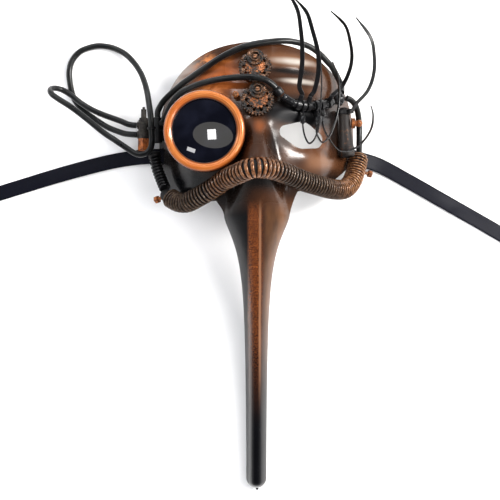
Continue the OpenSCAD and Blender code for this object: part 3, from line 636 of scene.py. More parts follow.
def ring_repeater(finish):
    """Geometry nodes that set a rounded ring on each point, square to the point's heading."""
    tree = bpy.data.node_groups.new("rings_on_route", "GeometryNodeTree")
    tree.interface.new_socket("Geometry", in_out="INPUT", socket_type="NodeSocketGeometry")
    for label in ("Outer Radius", "Rib Thickness"):
        tree.interface.new_socket(label, in_out="INPUT", socket_type="NodeSocketFloat")
    tree.interface.new_socket("Geometry", in_out="OUTPUT", socket_type="NodeSocketGeometry")
    made, link = tree.nodes.new, tree.links.new
    given, result = made("NodeGroupInput"), made("NodeGroupOutput")
    less = made("ShaderNodeMath")
    less.operation = "SUBTRACT"
    link(given.outputs["Outer Radius"], less.inputs[0])
    link(given.outputs["Rib Thickness"], less.inputs[1])
    circle = made("GeometryNodeCurvePrimitiveCircle")
    circle.inputs["Resolution"].default_value = RING_SIDES
    link(less.outputs[0], circle.inputs["Radius"])
    section = made("GeometryNodeCurvePrimitiveCircle")
    section.inputs["Resolution"].default_value = RIB_SIDES
    link(given.outputs["Rib Thickness"], section.inputs["Radius"])
    ring = made("GeometryNodeCurveToMesh")
    link(circle.outputs["Curve"], ring.inputs["Curve"])
    link(section.outputs["Curve"], ring.inputs["Profile Curve"])
    heading, girth = made("GeometryNodeInputNamedAttribute"), made("GeometryNodeInputNamedAttribute")
    for given_name, reader in (("heading", heading), ("girth", girth)):
        reader.data_type = "FLOAT_VECTOR"
        reader.inputs["Name"].default_value = given_name
    align = made("FunctionNodeAlignRotationToVector")
    align.axis = "Z"
    link(heading.outputs["Attribute"], align.inputs["Vector"])
    place = made("GeometryNodeInstanceOnPoints")
    link(given.outputs["Geometry"], place.inputs["Points"])
    link(ring.outputs["Mesh"], place.inputs["Instance"])
    link(align.outputs["Rotation"], place.inputs["Rotation"])
    link(girth.outputs["Attribute"], place.inputs["Scale"])
    real, paint = made("GeometryNodeRealizeInstances"), made("GeometryNodeSetMaterial")
    paint.inputs["Material"].default_value = FINISHES[finish].material
    link(place.outputs["Instances"], real.inputs["Geometry"])
    link(real.outputs["Geometry"], paint.inputs["Geometry"])
    link(paint.outputs["Geometry"], result.inputs["Geometry"])
    return tree


def rings_along(name, places, headings, girths, radius, thick, finish):
    """Rings at places (mm) along a route; girths holds their scales across and along it."""
    mesh = bpy.data.meshes.new(name)
    mesh.from_pydata((places * MM).tolist(), [], [])
    for label, values in (("heading", headings), ("girth", girths)):
        layer = mesh.attributes.new(label, "FLOAT_VECTOR", "POINT")
        layer.data.foreach_set("vector", np.asarray(values, float).ravel())
    piece = bpy.data.objects.new(name, mesh)
    bpy.context.scene.collection.objects.link(piece)
    modifier = piece.modifiers.new("rings", "NODES")
    modifier.node_group = ring_repeater(finish)
    sockets = {s.name: s.identifier for s in modifier.node_group.interface.items_tree if s.in_out == "INPUT"}
    modifier[sockets["Outer Radius"]] = radius * MM
    modifier[sockets["Rib Thickness"]] = thick * MM
    depsgraph = bpy.context.evaluated_depsgraph_get()
    made = bpy.data.meshes.new_from_object(piece.evaluated_get(depsgraph))
    piece.modifiers.clear()
    piece.data = made
    face_outwards(made)
    made.shade_smooth()
    return piece


# ---- Routes, in millimetres, as the CAD draws them ----
LEFT_LOOP = [[-102, 4.5, 15], [-107, 5, 14], [-113, 6, 12], [-120, 8.5, 10], [-128, 12, 8],
    [-136, 17, 6], [-143, 22, 4.5], [-149, 26.5, 3.2], [-154, 31.5, 2.6], [-158.5, 39, 2.6],
    [-161, 49, 2.6], [-162, 60, 2.6], [-160, 69, 2.6], [-155, 76, 2.6], [-149, 80, 2.6],
    [-138, 83, 2.6], [-127, 82, 3], [-119, 79, 4], [-112, 74.5, 6], [-105, 67, 10],
    [-99, 58, 15], [-95, 49, 19.5], [-92, 39, 24], [-90, 28, 27], [-88.5, 18, 29],
    [-87.8, 8, 29.5], [-87.4, 1, 29.3], [-87.5, -4.2, 28.9], [-88.9, -9, 28.2],
    [-92.3, -12.4, 27.2], [-97.3, -13.7, 26.1], [-102.5, -12.3, 25.2], [-108.2, -8.6, 24.4],
    [-113.5, -5, 23.8], [-120, -0.6, 23.2], [-127, 4, 22.9], [-135, 10.2, 23.2],
    [-143, 16.8, 24.2], [-150.5, 22.6, 25.3], [-157.5, 27.6, 26.3], [-163.3, 31.2, 26.9],
    [-167.8, 34.1, 26.8], [-171.6, 37.1, 25.6], [-174, 40.5, 22.3], [-174, 43.2, 17.8],
    [-171.6, 44.5, 13.3], [-167.5, 44, 9.9], [-162.9, 41.9, 8.6], [-158.2, 38.6, 8.2],
    [-151, 32.8, 8.8], [-142, 27.2, 9.6], [-133, 23, 10.4], [-124, 19.5, 11.6],
    [-116, 16.5, 13], [-109, 13.5, 14.4], [-102, 12.5, 15]]
FOREHEAD = [[-84.4, 19.3, 14], [-84, 25, 14], [-79.5, 32.5, 15.5], [-72, 39, 20.5], [-62, 45, 31],
    [-52, 50, 39.5],
    [-41, 56, 46], [-30, 62, 51], [-20, 66.5, 54], [-9, 70.5, 56], [3, 73.3, 55], [15, 75.2, 52.8],
    [25, 76.2, 49.5], [34, 75.8, 45], [42, 74.3, 40.5], [48, 71.8, 37], [54, 68, 33], [59, 63.5, 30],
    [63, 60, 27], [67, 54, 24], [70, 48, 23.5], [71.5, 43, 25], [71, 38, 29]]
GOGGLE_CABLE = [[-81.1, 13.6, 17.6], [-78.7, 15.4, 20.1], [-76.2, 21, 21.2], [-71.3, 30, 24.2],
    [-64, 37, 31],
    [-55, 40, 40], [-45, 42, 48], [-35, 43, 55], [-25, 43.5, 61], [-13, 43.5, 66], [-3, 43.2, 68.5],
    [5, 41.5, 68.5], [11, 38.5, 67], [15, 35, 65.5]]
BROW = [[20.5, 28.5, 63.5], [26, 25, 63.5], [31, 23, 62], [37, 22, 59.5], [43, 22.3, 55.8],
    [50, 23.5, 50.5], [56, 25.5, 45], [62, 28.5, 38.5]]
EAR_LOOP = [[75, 33, 31], [79, 31.5, 29], [83, 28, 25], [86, 21, 20], [87.2, 12, 17],
    [87.4, 3, 16.5], [87.4, -4.5, 15.6], [87.5, -11.4, 14]]
HOSE = [[87, -15, 15.2], [84, -26, 20], [80, -36, 26], [73, -43, 34], [62, -44, 46],
    [50, -42, 57.5], [37, -39, 67], [25, -35, 76], [14, -32, 88], [3, -31, 96], [-6, -32, 96],
    [-15, -35, 88], [-24, -38, 77], [-32, -43, 69], [-41, -48, 62.5], [-49, -52, 56],
    [-57, -55, 48], [-65, -54, 40], [-72, -50, 33]]
SMALL_HOSE = [[-86, -16, 18.2], [-84.5, -23, 19.5], [-82, -30, 22], [-79, -37, 25.5], [-76.5, -42, 29]]
CABLE_R = 2.5


def make_cables():
    loop = smooth_route(LEFT_LOOP, 6)
    sleeve = tube("left_loop_sleeve", loop, CABLE_R, 20)
    piece = finish_piece(sleeve, "cable", stands_for=("left_loop_cable",))
    for name, route, node in (("forehead_sleeve", FOREHEAD, "forehead_cable"),
                              ("goggle_sleeve", GOGGLE_CABLE, "goggle_cable"),
                              ("ear_sleeve", EAR_LOOP, "ear_loop_cable")):
        finish_piece(tube(name, smooth_route(route, 6), CABLE_R, 20), "cable", stands_for=(node,))


# ---- Face shell ----
TEMPLE_HALF, FOREHEAD_TOP, FACE_DEPTH, BEAK_REACH = 84.0, 75.0, 64.0, 299.0
RIDGE_PEAK, ROOT_HALF, TIP_HALF, TIP_HEIGHT, WALL = 86.0, 26.5, 8.0, 16.0, 2.0
CHEEK_Y, CHEEK_EDGE, CHEEK_TURN, NOSE_PEAK_Y, TIP_ROUND = -66.0, -50.0, 36.0, -25.0, 8.0
FLARE, CHEEK_SLANT = 6.5, 0.11
GOGGLE_AT = np.array([-41.0, -1.0])
GOGGLE_HOLE_R = 23.0
SLOT_X, SLOT_Y, SLOT_HALF, SLOT_DEEP = 80.0, -13.0, 7.35, 8.0   # the ribbon slots by the temples


def ease(v):
    c = np.clip(v, 0, 1)
    return c * c * (3 - 2 * c)


def tip_factor(y):
    return np.sqrt(np.maximum(0.03, 1 - (np.maximum(0, TIP_ROUND - BEAK_REACH - y) / TIP_ROUND) ** 2))


def nose_half(y):
    beak = TIP_HALF + (ROOT_HALF - TIP_HALF) / (1 + (np.maximum(0, CHEEK_Y - y) / 28) ** 1.6)
    return np.where(y < CHEEK_Y, beak * tip_factor(y), np.maximum(12.5, ROOT_HALF - (y - CHEEK_Y) * 0.212))


def forehead_fall(y):
    return 0.25 * (np.sqrt((y - 10) ** 2 + 64) + y - 10) / 2


def face(x, y):
    """Height of the shell's outer surface, as the CAD has it."""
    x, y = np.asarray(x, float), np.asarray(y, float)
    down = np.maximum(0, 1 - (NOSE_PEAK_Y - y) / (BEAK_REACH + NOSE_PEAK_Y))
    ridge = np.where(y < NOSE_PEAK_Y, TIP_HEIGHT + (RIDGE_PEAK - TIP_HEIGHT) * np.minimum(down, 1) ** 2.2,
                     RIDGE_PEAK - 24 * ease((y - NOSE_PEAK_Y) / 45) - forehead_fall(y))
    back = 45 * np.maximum(0, 1 - np.maximum(0, CHEEK_Y - y) / (BEAK_REACH + CHEEK_Y)) ** 3.2
    cheek = 10 * (np.maximum(0, -20 - y) / 46) ** 2 + 3 * (np.maximum(0, -56 - y) / 10) ** 2
    dome = FACE_DEPTH * (1 - (np.abs(x) / TEMPLE_HALF) ** 2.3) - forehead_fall(y) - cheek
    h = nose_half(y)
    q = np.abs(x) / h
    arch = back + (ridge - back) * np.where(q < 1, np.maximum(0, 1 - np.minimum(q, 1) ** 2.4) ** 0.62, 0)
    arch = arch - np.maximum(0, q - 1) * h * 2
    return np.maximum(0, (dome + arch + np.sqrt((dome - arch) ** 2 + 36)) / 2 + 1.5)


def half_width(y):
    """Half of the shell's width at a height, as the CAD has it."""
    y = np.asarray(y, float)
    top = TEMPLE_HALF * np.maximum(0, 1 - (np.maximum(y, 0) / FOREHEAD_TOP) ** 2.5) ** 0.42
    turn = np.sqrt(np.maximum(0, 1 - ((CHEEK_EDGE + CHEEK_TURN - y) / CHEEK_TURN) ** 2))
    cheek = ROOT_HALF + FLARE + (TEMPLE_HALF - ROOT_HALF - FLARE) * turn
    root = ROOT_HALF + FLARE * (np.clip(y - CHEEK_Y, 0, None) / (CHEEK_EDGE - CHEEK_Y)) ** 1.5
    return np.where(y > 0, top, np.where(y > CHEEK_EDGE + CHEEK_TURN, TEMPLE_HALF, np.where(
        y > CHEEK_EDGE, cheek, np.where(y > CHEEK_Y, root, nose_half(y)))))


def slant(y):
    return CHEEK_SLANT * ease(-y / 40) * (1 - ease((CHEEK_EDGE - y) / 16))


EYE_CIRCLES = ((23.5, 1.0, 5.5), (36.5, -1.0, 11.0), (46.5, -3.5, 7.5))


def eye_hull():
    """The teardrop round the three circles of the eye opening, anticlockwise."""
    turn = np.linspace(0, 2 * math.pi, 97)[:-1]
    dots = sorted((cx + r * math.cos(a), cy + r * math.sin(a)) for cx, cy, r in EYE_CIRCLES for a in turn)
    hull = []
    for sweep_dots in (dots, dots[::-1]):
        part = []
        for p in sweep_dots:
            while len(part) > 1 and ((part[-1][0] - part[-2][0]) * (p[1] - part[-2][1])
                                     - (part[-1][1] - part[-2][1]) * (p[0] - part[-2][0])) <= 0:
                part.pop()
            part.append(p)
        hull += part[:-1]
    return np.array(hull)


EYE_HULL = eye_hull()


def eye_distance(x, y):
    """Distance outside the eye opening, and nothing inside it."""
    best = np.full(np.shape(x), 1e9)
    inside = np.ones(np.shape(x), bool)
    for a, b in zip(EYE_HULL, np.roll(EYE_HULL, -1, axis=0)):
        d = b - a
        t = np.clip(((x - a[0]) * d[0] + (y - a[1]) * d[1]) / np.dot(d, d), 0, 1)
        best = np.minimum(best, np.hypot(x - a[0] - t * d[0], y - a[1] - t * d[1]))
        inside &= d[0] * (y - a[1]) - d[1] * (x - a[0]) >= 0
    return np.where(inside, 0, best)


def bulge(x, y, at, wide, tall, turn=0.0):
    c, s = math.cos(turn), math.sin(turn)
    u, v = (x - at[0]) * c + (y - at[1]) * s, (y - at[1]) * c - (x - at[0]) * s
    return np.exp(-0.5 * ((u / wide) ** 2 + (v / tall) ** 2))


def relief(x, y):
    """Small moulded forms on the outer face: brow, eye socket, cheek, nose bridge and forehead folds."""
    high = 2.2 * bulge(x, y, (38, 17.5), 17, 3.8, -0.06) + 1.0 * bulge(x, y, (14, 13), 8, 5, 0.5)
    high = high + 1.8 * bulge(x, y, (49, -21), 14, 8, -0.3) + 1.3 * bulge(x, y, (0.5, 3), 3.4, 5)
    high = high - 1.1 * np.exp(-(eye_distance(x, y) / 4.0) ** 1.5)
    high = high - 0.8 * bulge(x, y, (0, 12), 7, 3.5)
    folds = np.cos((y - 58) * 2 * math.pi / 13.5 + 0.015 * (x - 20)) * bulge(x, y, (27, 52), 20, 11)
    near_goggle = np.hypot(x - GOGGLE_AT[0], y - GOGGLE_AT[1])
    return (high + 0.4 * folds) * ease((near_goggle - 31) / 8)


def shell_rows():
    top = (FOREHEAD_TOP - 0.1) * np.cos(np.linspace(0, math.pi / 2, 96))[:-1]
    temple = np.linspace(0, CHEEK_EDGE + CHEEK_TURN, 15)[:-1]
    turn = CHEEK_EDGE + CHEEK_TURN - CHEEK_TURN * np.sin(np.linspace(0, math.pi / 2, 46))[:-1]
    root = np.linspace(CHEEK_EDGE, CHEEK_Y, 14)[:-1]
    beak = CHEEK_Y - (BEAK_REACH + CHEEK_Y - TIP_ROUND) * np.linspace(0, 1, 104)[:-1] ** 1.1
    tip = TIP_ROUND - BEAK_REACH - TIP_ROUND * np.sin(np.linspace(0, math.pi / 2, 14))
    return np.concatenate([top, temple, turn, root, beak, tip])


def shell_sheet(rows, cols, t):
    u = np.linspace(-1, 1, cols)[None, :]
    y = rows[:, None] + 0 * u
    w = half_width(y)
    x = w * np.sin(math.pi / 2 * u)
    v = y + slant(y) * x
    on_top = face(x, v) + relief(x, v) * (1 if t == 0 else 0.8)
    z = on_top * np.where(y < CHEEK_Y, tip_factor(y), 1)
    low = np.maximum(z - t * (1 - np.abs(u) ** 4), 0.25 * z)
    return np.stack([x * (1 - t / np.maximum(w, 3 * t)), v, low], axis=2).reshape(-1, 3)


def cutter(name, outline, low=-5.0, high=120.0):
    """An upright block with the given outline, to cut an opening with."""
    n = len(outline)
    points = [(x, y, low) for x, y in outline] + [(x, y, high) for x, y in outline]
    faces = [tuple(range(n)), tuple(range(2 * n - 1, n - 1, -1))]
    faces += [(k, (k + 1) % n, n + (k + 1) % n, n + k) for k in range(n)]
    return add_mesh(name, points, faces)


def make_shell():
    rows, cols = shell_rows(), 124
    n, c = len(rows), cols
    points = np.vstack([shell_sheet(rows, cols, 0.0), shell_sheet(rows, cols, WALL)])
    back = n * c
    faces = []
    for r in range(n - 1):
        a = r * c
        faces += [(a + k, a + k + 1, a + c + k + 1, a + c + k) for k in range(c - 1)]
        b = back + a
        faces += [(b + k, b + c + k, b + c + k + 1, b + k + 1) for k in range(c - 1)]
        faces += [(a, a + c, b + c, b), (a + 2 * c - 1, a + c - 1, b + c - 1, b + 2 * c - 1)]
    last = (n - 1) * c
    faces += [(k + 1, k, back + k, back + k + 1) for k in range(c - 1)]
    faces += [(last + k, last + k + 1, back + last + k + 1, back + last + k) for k in range(c - 1)]
    shell = add_mesh("face_shell", points, faces, 32)
    ring = [tuple(GOGGLE_AT + GOGGLE_HOLE_R * np.array([math.cos(a), math.sin(a)]))
            for a in np.linspace(0, 2 * math.pi, 97)[:-1]]
    tools = [cutter("eye_cutter", [tuple(p) for p in EYE_HULL]), cutter("goggle_cutter", ring)]
    low, high = SLOT_Y - SLOT_HALF, SLOT_Y + SLOT_HALF
    for x in (-SLOT_X, SLOT_X):
        box = [(x - SLOT_DEEP, low), (x + SLOT_DEEP, low), (x + SLOT_DEEP, high), (x - SLOT_DEEP, high)]
        tools.append(cutter("slot_cutter", box, 6.0, 9.0))
    for tool in tools:
        modifier = shell.modifiers.new("cut", "BOOLEAN")
        modifier.operation, modifier.object, modifier.solver = "DIFFERENCE", tool, "MANIFOLD"
    depsgraph = bpy.context.evaluated_depsgraph_get()
    made = bpy.data.meshes.new_from_object(shell.evaluated_get(depsgraph))
    shell.modifiers.clear()
    shell.data = made
    for tool in tools:
        bpy.data.objects.remove(tool)
    made.shade_smooth()
    made.set_sharp_from_angle(angle=math.radians(40))
    finish_piece(shell, "shell", stands_for=("mask_shell",))
    made.materials.append(FINISHES["shell_inside"].material)
    normals = np.zeros(len(made.polygons) * 3)
    centres = np.zeros(len(made.polygons) * 3)
    made.polygons.foreach_get("normal", normals)
    made.polygons.foreach_get("center", centres)
    normals, centres = normals.reshape(-1, 3), centres.reshape(-1, 3) / MM
    outer = face(centres[:, 0], centres[:, 1]) + relief(centres[:, 0], centres[:, 1])
    outer = outer * np.where(centres[:, 1] < CHEEK_Y, tip_factor(centres[:, 1]), 1)
    inside = (normals[:, 2] < -0.05) & (outer - centres[:, 2] > 0.5)
    made.polygons.foreach_set("material_index", inside.astype(np.int32))
    # The sprue that the mould leaves on the tip of the beak
    finish_piece(lathe("tip_sprue", [(0, 0), (1.5, 0), (1.3, 1.4), (0.9, 2.3), (0, 2.6)], (0.6, -298.2, 4.5),
                       (0.05, -1, 0.1), 24), "shell")


# ---- Goggle ----
CUP_R, SEAT_Z, RING_TOP, RING_R, LENS_R = 29.4, 78.0, 84.0, 31.8, 25.5


def make_goggle():
    at = (GOGGLE_AT[0], GOGGLE_AT[1], 0)
    turn = np.linspace(0, 2 * math.pi, 145)[:-1]
    rings = []
    for r, lift in ((CUP_R - 2.4, 0), (CUP_R - 0.2, 0), (CUP_R + 0.5, 0.5), (CUP_R + 0.5, 1.8),
                    (CUP_R - 0.1, 2.4)):
        x, y = GOGGLE_AT[0] + r * np.cos(turn), GOGGLE_AT[1] + r * np.sin(turn)
        rings.append(np.stack([x, y, face(x, y) + 0.4 + lift], axis=1))
    for r, z in ((CUP_R - 0.1, 75.0), (CUP_R, 75.4), (CUP_R, 78.0), (24.0, 78.0), (24.0, 76.0),
                 (CUP_R - 2.4, 74.5)):
        x, y = GOGGLE_AT[0] + r * np.cos(turn), GOGGLE_AT[1] + r * np.sin(turn)
        rings.append(np.stack([x, y, 0 * x + z], axis=1))
    m = len(turn)
    count = len(rings)
    faces = [(i * m + k, i * m + (k + 1) % m, (i + 1) % count * m + (k + 1) % m, (i + 1) % count * m + k)
             for i in range(count) for k in range(m)]
    barrel = add_mesh("goggle_barrel", np.vstack(rings), faces, 35)
    finish_piece(barrel, "goggle_black", stands_for=("goggle_cup",))
    inner, bore = LENS_R - 0.6, LENS_R + 0.3
    profile = [(CUP_R + 0.1, SEAT_Z - 2.5), (RING_R - 0.9, SEAT_Z - 2.5), (RING_R - 0.3, SEAT_Z - 2.2),
               (RING_R, SEAT_Z - 1.5), (RING_R, RING_TOP - 3.0), (RING_R - 0.25, RING_TOP - 2.1),
               (RING_R - 0.9, RING_TOP - 1.0),
               (RING_R - 1.8, RING_TOP - 0.3), (RING_R - 2.8, RING_TOP), (RING_R - 3.9, RING_TOP - 0.05),
               (RING_R - 4.5, RING_TOP - 0.45), (RING_R - 4.7, RING_TOP - 0.75),
               (inner + 0.9, RING_TOP - 1.3), (inner + 0.3, RING_TOP - 1.8), (inner, RING_TOP - 2.3),
               (inner, SEAT_Z + 2.7), (bore, SEAT_Z + 2.7), (bore, SEAT_Z + 0.1), (CUP_R + 0.1, SEAT_Z + 0.1)]
    ring = lathe("retaining_ring", profile, at, sides=160, sharp=28)
    finish_piece(ring, "copper_ring", stands_for=("goggle_ring",))
    dome_r = (LENS_R ** 2 + 2.2 ** 2) / 4.4
    profile = [(0, 78.8), (LENS_R - 0.2, 78.8), (LENS_R, 79.0), (LENS_R, 80.3)]
    for r in np.linspace(LENS_R, 0, 28)[1:]:
        profile.append((r, 80.4 + 2.2 - dome_r + math.sqrt(dome_r ** 2 - r * r)))
    finish_piece(lathe("lens_disc", profile, at, sides=160, sharp=25), "lens", stands_for=("goggle_lens",))
    # The spring retaining wire in the bead of the ring
    wire_r = inner + 0.25
    wire = [(GOGGLE_AT[0] + wire_r * math.cos(a), GOGGLE_AT[1] + wire_r * math.sin(a), 81.75)
            for a in np.linspace(0.1, 2 * math.pi - 0.1, 120)]
    finish_piece(tube("lens_wire", np.array(wire), 0.42, 10), "goggle_black")


# ---- Hoses ----
HOSE_CORE_R, HOSE_RIB_R = 6.4, 8.35
SMALL_CORE_R, SMALL_RIB_R, SMALL_PITCH = 3.7, 5.0, 3.1
RIB_R = 1.15   # of a rib's own section, before its girth


def copper_pitch(x):
    """Spacing of the ribs: the hose is stretched over the nose and closed up at its ends."""
    stretched = ease((x + 46) / 26) * (1 - ease((x - 26) / 12))
    return 3.15 - 0.45 * ease((x - 10) / 30) + 0.75 * stretched - 0.75 * over_nose(x)


def over_nose(x):
    """1 on the bend over the nose, where the outer side of each rib opens out, and 0 away from it."""
    return ease((x + 17) / 10) * (1 - ease((x - 7) / 10))


def make_hoses():
    path = smooth_route(HOSE, 8)
    total = length_of(path)
    finish_piece(tube("hose_core", path, HOSE_CORE_R, 40), "hose_groove", stands_for=("copper_hose",))
    gaps, girths, s = [], [], 1.6
    while s < total - 1.0:
        place, _ = spaced(path, [s])
        pitch = copper_pitch(place[0][0])
        gaps.append(s)
        girths.append((1.0, 1.0, pitch * (0.52 + 0.42 * over_nose(place[0][0])) / (2 * RIB_R)))
        s += pitch
    places, heads = spaced(path, gaps)
    ribs = rings_along("hose_ribs", places, heads, girths, HOSE_RIB_R, RIB_R, "copper_hose")
    finish_piece(ribs, "copper_hose")
    start, end = path[0], path[-1]
    plug = [(0, -5), (5.6, -5), (5.8, 0), (7.2, 0.1), (7.4, 0.6), (7.2, 1.2), (4.4, 1.4), (4.2, 2.0),
            (3.4, 2.2), (0, 2.3)]
    finish_piece(lathe("hose_end_plug", plug, start, start - path[1], 64), "copper_hose",
                 stands_for=("copper_hose_plug",))
    small = smooth_route(SMALL_HOSE, 8)
    finish_piece(tube("black_hose_core", small, SMALL_CORE_R, 32), "hose_groove", stands_for=("black_hose",))
    s, gaps = 1.4, []
    while s < length_of(small) - 0.6:
        gaps.append(s)
        s += SMALL_PITCH
    places, heads = spaced(small, gaps)
    girths = [(1.0, 1.0, 0.95)] * len(gaps)
    ribs = rings_along("black_hose_ribs", places, heads, girths, SMALL_RIB_R, RIB_R, "black_hose")
    finish_piece(ribs, "black_hose")
    cap = [(0, 0.4), (4.6, 0.4), (5.3, 0.9), (5.4, 1.6), (5.1, 2.2), (5.4, 2.8), (5.4, 4.2), (4.9, 5.0),
           (3.4, 5.4), (0, 5.4)]
    finish_piece(lathe("black_hose_end", cap, small[0], small[0] - small[1], 64), "black_plastic",
                 stands_for=("black_hose_cap",))
    ball = [(0, -5), (5.6, -5), (5.8, 0.3), (6.6, 0.5), (6.6, 1.6), (5.7, 2.2), (5.3, 3.4), (5.4, 4.8),
            (4.9, 7.0), (3.7, 8.7), (2.0, 9.9), (0, 10.2)]
    finish_piece(lathe("hose_joint", ball, end, end - path[-2], 64), "hose_groove",
                 stands_for=("hose_collar",))


# ---- Brow, lashes and side fittings ----
BROW_PATH = smooth_route(BROW, 3)
TUBE_TOP, TUBE_END = np.array([72.9, 25.5, 26.5]), np.array([75.8, -16.0, 28.0])
TUBE_TOP_R, TUBE_END_R = 4.1, 6.6
# Number: step on the brow (None for the temple pipe), points of the tail, side, place of the head
LASHES = {
    1: (7, [
        [33.5, 36, 69], [35, 48, 76], [35, 61, 83], [33.5, 75, 89], [30.5, 90, 93],
        [22.5, 103, 95]],
        [1, 0, 0.15], 1),
    2: (11, [
        [46, 34, 63], [48.5, 47, 70], [47.5, 61, 77], [43, 76, 83], [38, 89, 88], [29, 98, 92]],
        [1, 0, 0.2], 1),
    3: (19, [
        [69, 39, 48], [74, 49, 55], [76, 60, 60], [74, 72, 65], [69.5, 84, 69], [58, 94, 73]],
        [0.5, 0, 0.8], 1),
    4: (None, [
        [82, 27, 38], [91, 37, 44], [95, 50, 50], [94.5, 64, 55], [91, 77, 59], [79, 92, 62]],
        [0.5, 0, 0.8], 1),
    5: (16, [
        [53.5, 9, 50], [56.5, 0, 50], [62, -8, 49], [68, -13, 47], [77, -12, 45], [86, -6, 44],
        [93.5, 5, 43], [95.5, 16, 43], [93.5, 25, 43]],
        [0, 0, 1], 1),
    6: (9, [
        [36.5, 7, 62], [38, -2, 62], [41.5, -8.5, 62], [46, -5, 62.5], [49, 4, 63],
        [50.5, 16, 62.5], [51.5, 30, 60], [52, 45, 58], [51.5, 60, 56]],
        [0, 0, 1], 3),
    7: (14, [
        [48, 8, 56.5], [48, 0, 58], [52, -7, 58], [57, -4, 57], [61.5, 5, 56], [65.5, 20, 55],
        [66.5, 34, 54], [65.5, 46, 53], [61.5, 59, 51]],
        [0, 0, 1], 3),
}
STRAP_W, STRAP_T = 3.6, 1.1
BROW_TIE_D, PIPE_TIE_D = 6.4, 13.2 * 0.66   # of the tube inside the tie


def heading_at(path, i):
    return unit(path[min(i + 1, len(path) - 1)] - path[max(i - 1, 0)])


def make_lash(number, at, axis, tube_d, tail, side, head_step):
    """A cable tie: strap round a tube, moulded head, and a long tail that narrows to its tip."""
    lean = np.array(tail[0]) - at
    out = unit(lean - axis * np.dot(lean, axis))
    start = at + out * (tube_d / 2 + STRAP_T * 0.6)
    coarse = smooth_route([start, start + out * 5, *tail], 2)
    path = smooth_route([start, start + out * 5, *tail], 8)
    share = np.concatenate([[0], np.cumsum(np.linalg.norm(np.diff(path, axis=0), axis=1))]) / length_of(path)
    outlines = []
    for s in share:
        narrow = 1 - 0.15 * ease((s - 0.3) / 0.6) - 0.50 * ease((s - 0.84) / 0.16)
        outlines.append(flat_outline(STRAP_W * narrow, STRAP_T * (1 - 0.25 * s)))
    strap = sweep("tail", path, outlines, side)
    ring_r = tube_d / 2 + 0.08 + STRAP_T / 2
    _, a, b = carried_frames(np.array([at - axis, at, at + axis]), (0.3, 0.2, 1))
    loop = np.array([at + ring_r * (a[1] * math.cos(t) + b[1] * math.sin(t))
                     for t in np.linspace(0, 2 * math.pi, 49)[:-1]])
    band = sweep("band", loop, flat_outline(STRAP_W, STRAP_T), axis, closed=True)
    turn = turned(heading_at(coarse, head_step))
    head = rounded_block("head", (4.4, 3.6, 5.0), coarse[head_step], turn, 0.55)
    lip = rounded_block("lip", (3.3, 2.3, 6.0), coarse[head_step], turn, 0.4)
    tie = joined(f"lash_{number}", [strap, band, head, lip])
    finish_piece(tie, "nylon", stands_for=(f"lash_tie_{number}",))


def make_lashes():
    tube_axis = unit(TUBE_END - TUBE_TOP)
    for number, (step, tail, side, head_step) in LASHES.items():
        if step is None:
            make_lash(number, TUBE_TOP + tube_axis * 4, tube_axis, PIPE_TIE_D, tail, side, head_step)
        else:
            axis = heading_at(BROW_PATH, step)
            make_lash(number, BROW_PATH[step], axis, BROW_TIE_D, tail, side, head_step)


BROW_R, BEAD_HIGH, BEAD_LONG = 3.15, 0.42, 0.013


def make_brow():
    path = smooth_route(BROW, 12)
    share = np.linspace(0, 1, len(path))
    # Sleeved in short lengths that leave beads where they meet
    beads = np.zeros(len(path))
    for at in (0.06, 0.22, 0.30, 0.47, 0.62, 0.71, 0.86, 0.95):
        beads += BEAD_HIGH * np.exp(-((share - at) / BEAD_LONG) ** 2)
    finish_piece(tube("brow_sleeve", path, BROW_R + beads, 28), "brow_rubber", stands_for=("brow_tube",))
    a, b = smooth_route(GOGGLE_CABLE, 2)[-1], BROW_PATH[0]
    n = float(np.linalg.norm(b - a))
    ferrule = [(0, 0.5), (3.0, 0.5), (3.5, 0.8), (3.6, 1.2), (3.3, 1.7), (3.6, 2.2), (3.6, n - 3.0),
               (3.3, n - 2.2), (0, n - 1.8)]
    finish_piece(lathe("cable_ferrule", ferrule, a, b - a, 56), "black_plastic",
                 stands_for=("goggle_cable_ferrule",))
    # The bunch of clipped tie heads at the end of the brow
    middle = np.array([68.7, 32.2, 31.0])
    rng = np.random.default_rng(7)
    ball = [(0, -5.0), (2.6, -4.5), (4.4, -2.6), (5.0, 0), (4.4, 2.6), (2.6, 4.5), (0, 5.0)]
    parts = [lathe("bunch", ball, middle, (0.3, 0.5, 1), 32)]
    for k in range(7):
        d = unit(rng.normal(size=3) * [1, 1, 0.6] + [0.1, -0.1, 0.5])
        lie = turned(d + rng.normal(size=3) * 0.4)
        parts.append(rounded_block("clip", (3.4, 2.8, 4.2), middle + d * 3.9, lie, 0.5, k))
    finish_piece(joined("brow_bunch", parts), "black_plastic", stands_for=("brow_junction",))


def make_temple_tube():
    d = TUBE_END - TUBE_TOP
    n = float(np.linalg.norm(d))

    def r(h):
        return TUBE_TOP_R + (TUBE_END_R - TUBE_TOP_R) * h / n

    profile = [(0, 0), (2.6, 0), (3.0, 0.3), (r(0.8) + 0.1, 0.9), (r(2) + 0.35, 1.6), (r(4) + 0.35, 4.0),
               (r(4.4), 4.5), (r(8), 8.0), (r(12) - 0.15, 12), (r(18) - 0.25, 18), (r(24) - 0.2, 24),
               (r(30), 30), (r(33), 33.2), (r(33) + 0.3, 33.6), (r(35) + 0.3, 35.4), (r(36), 35.9),
               (r(38) - 0.1, 38), (r(39.5) - 0.1, n - 1.6), (r(40) - 0.6, n - 0.6), (4.6, n - 0.2),
               (4.0, n - 1.4), (0, n - 1.4)]
    finish_piece(lathe("temple_pipe", profile, TUBE_TOP, d, 64), "brown_tube", stands_for=("temple_tube",))


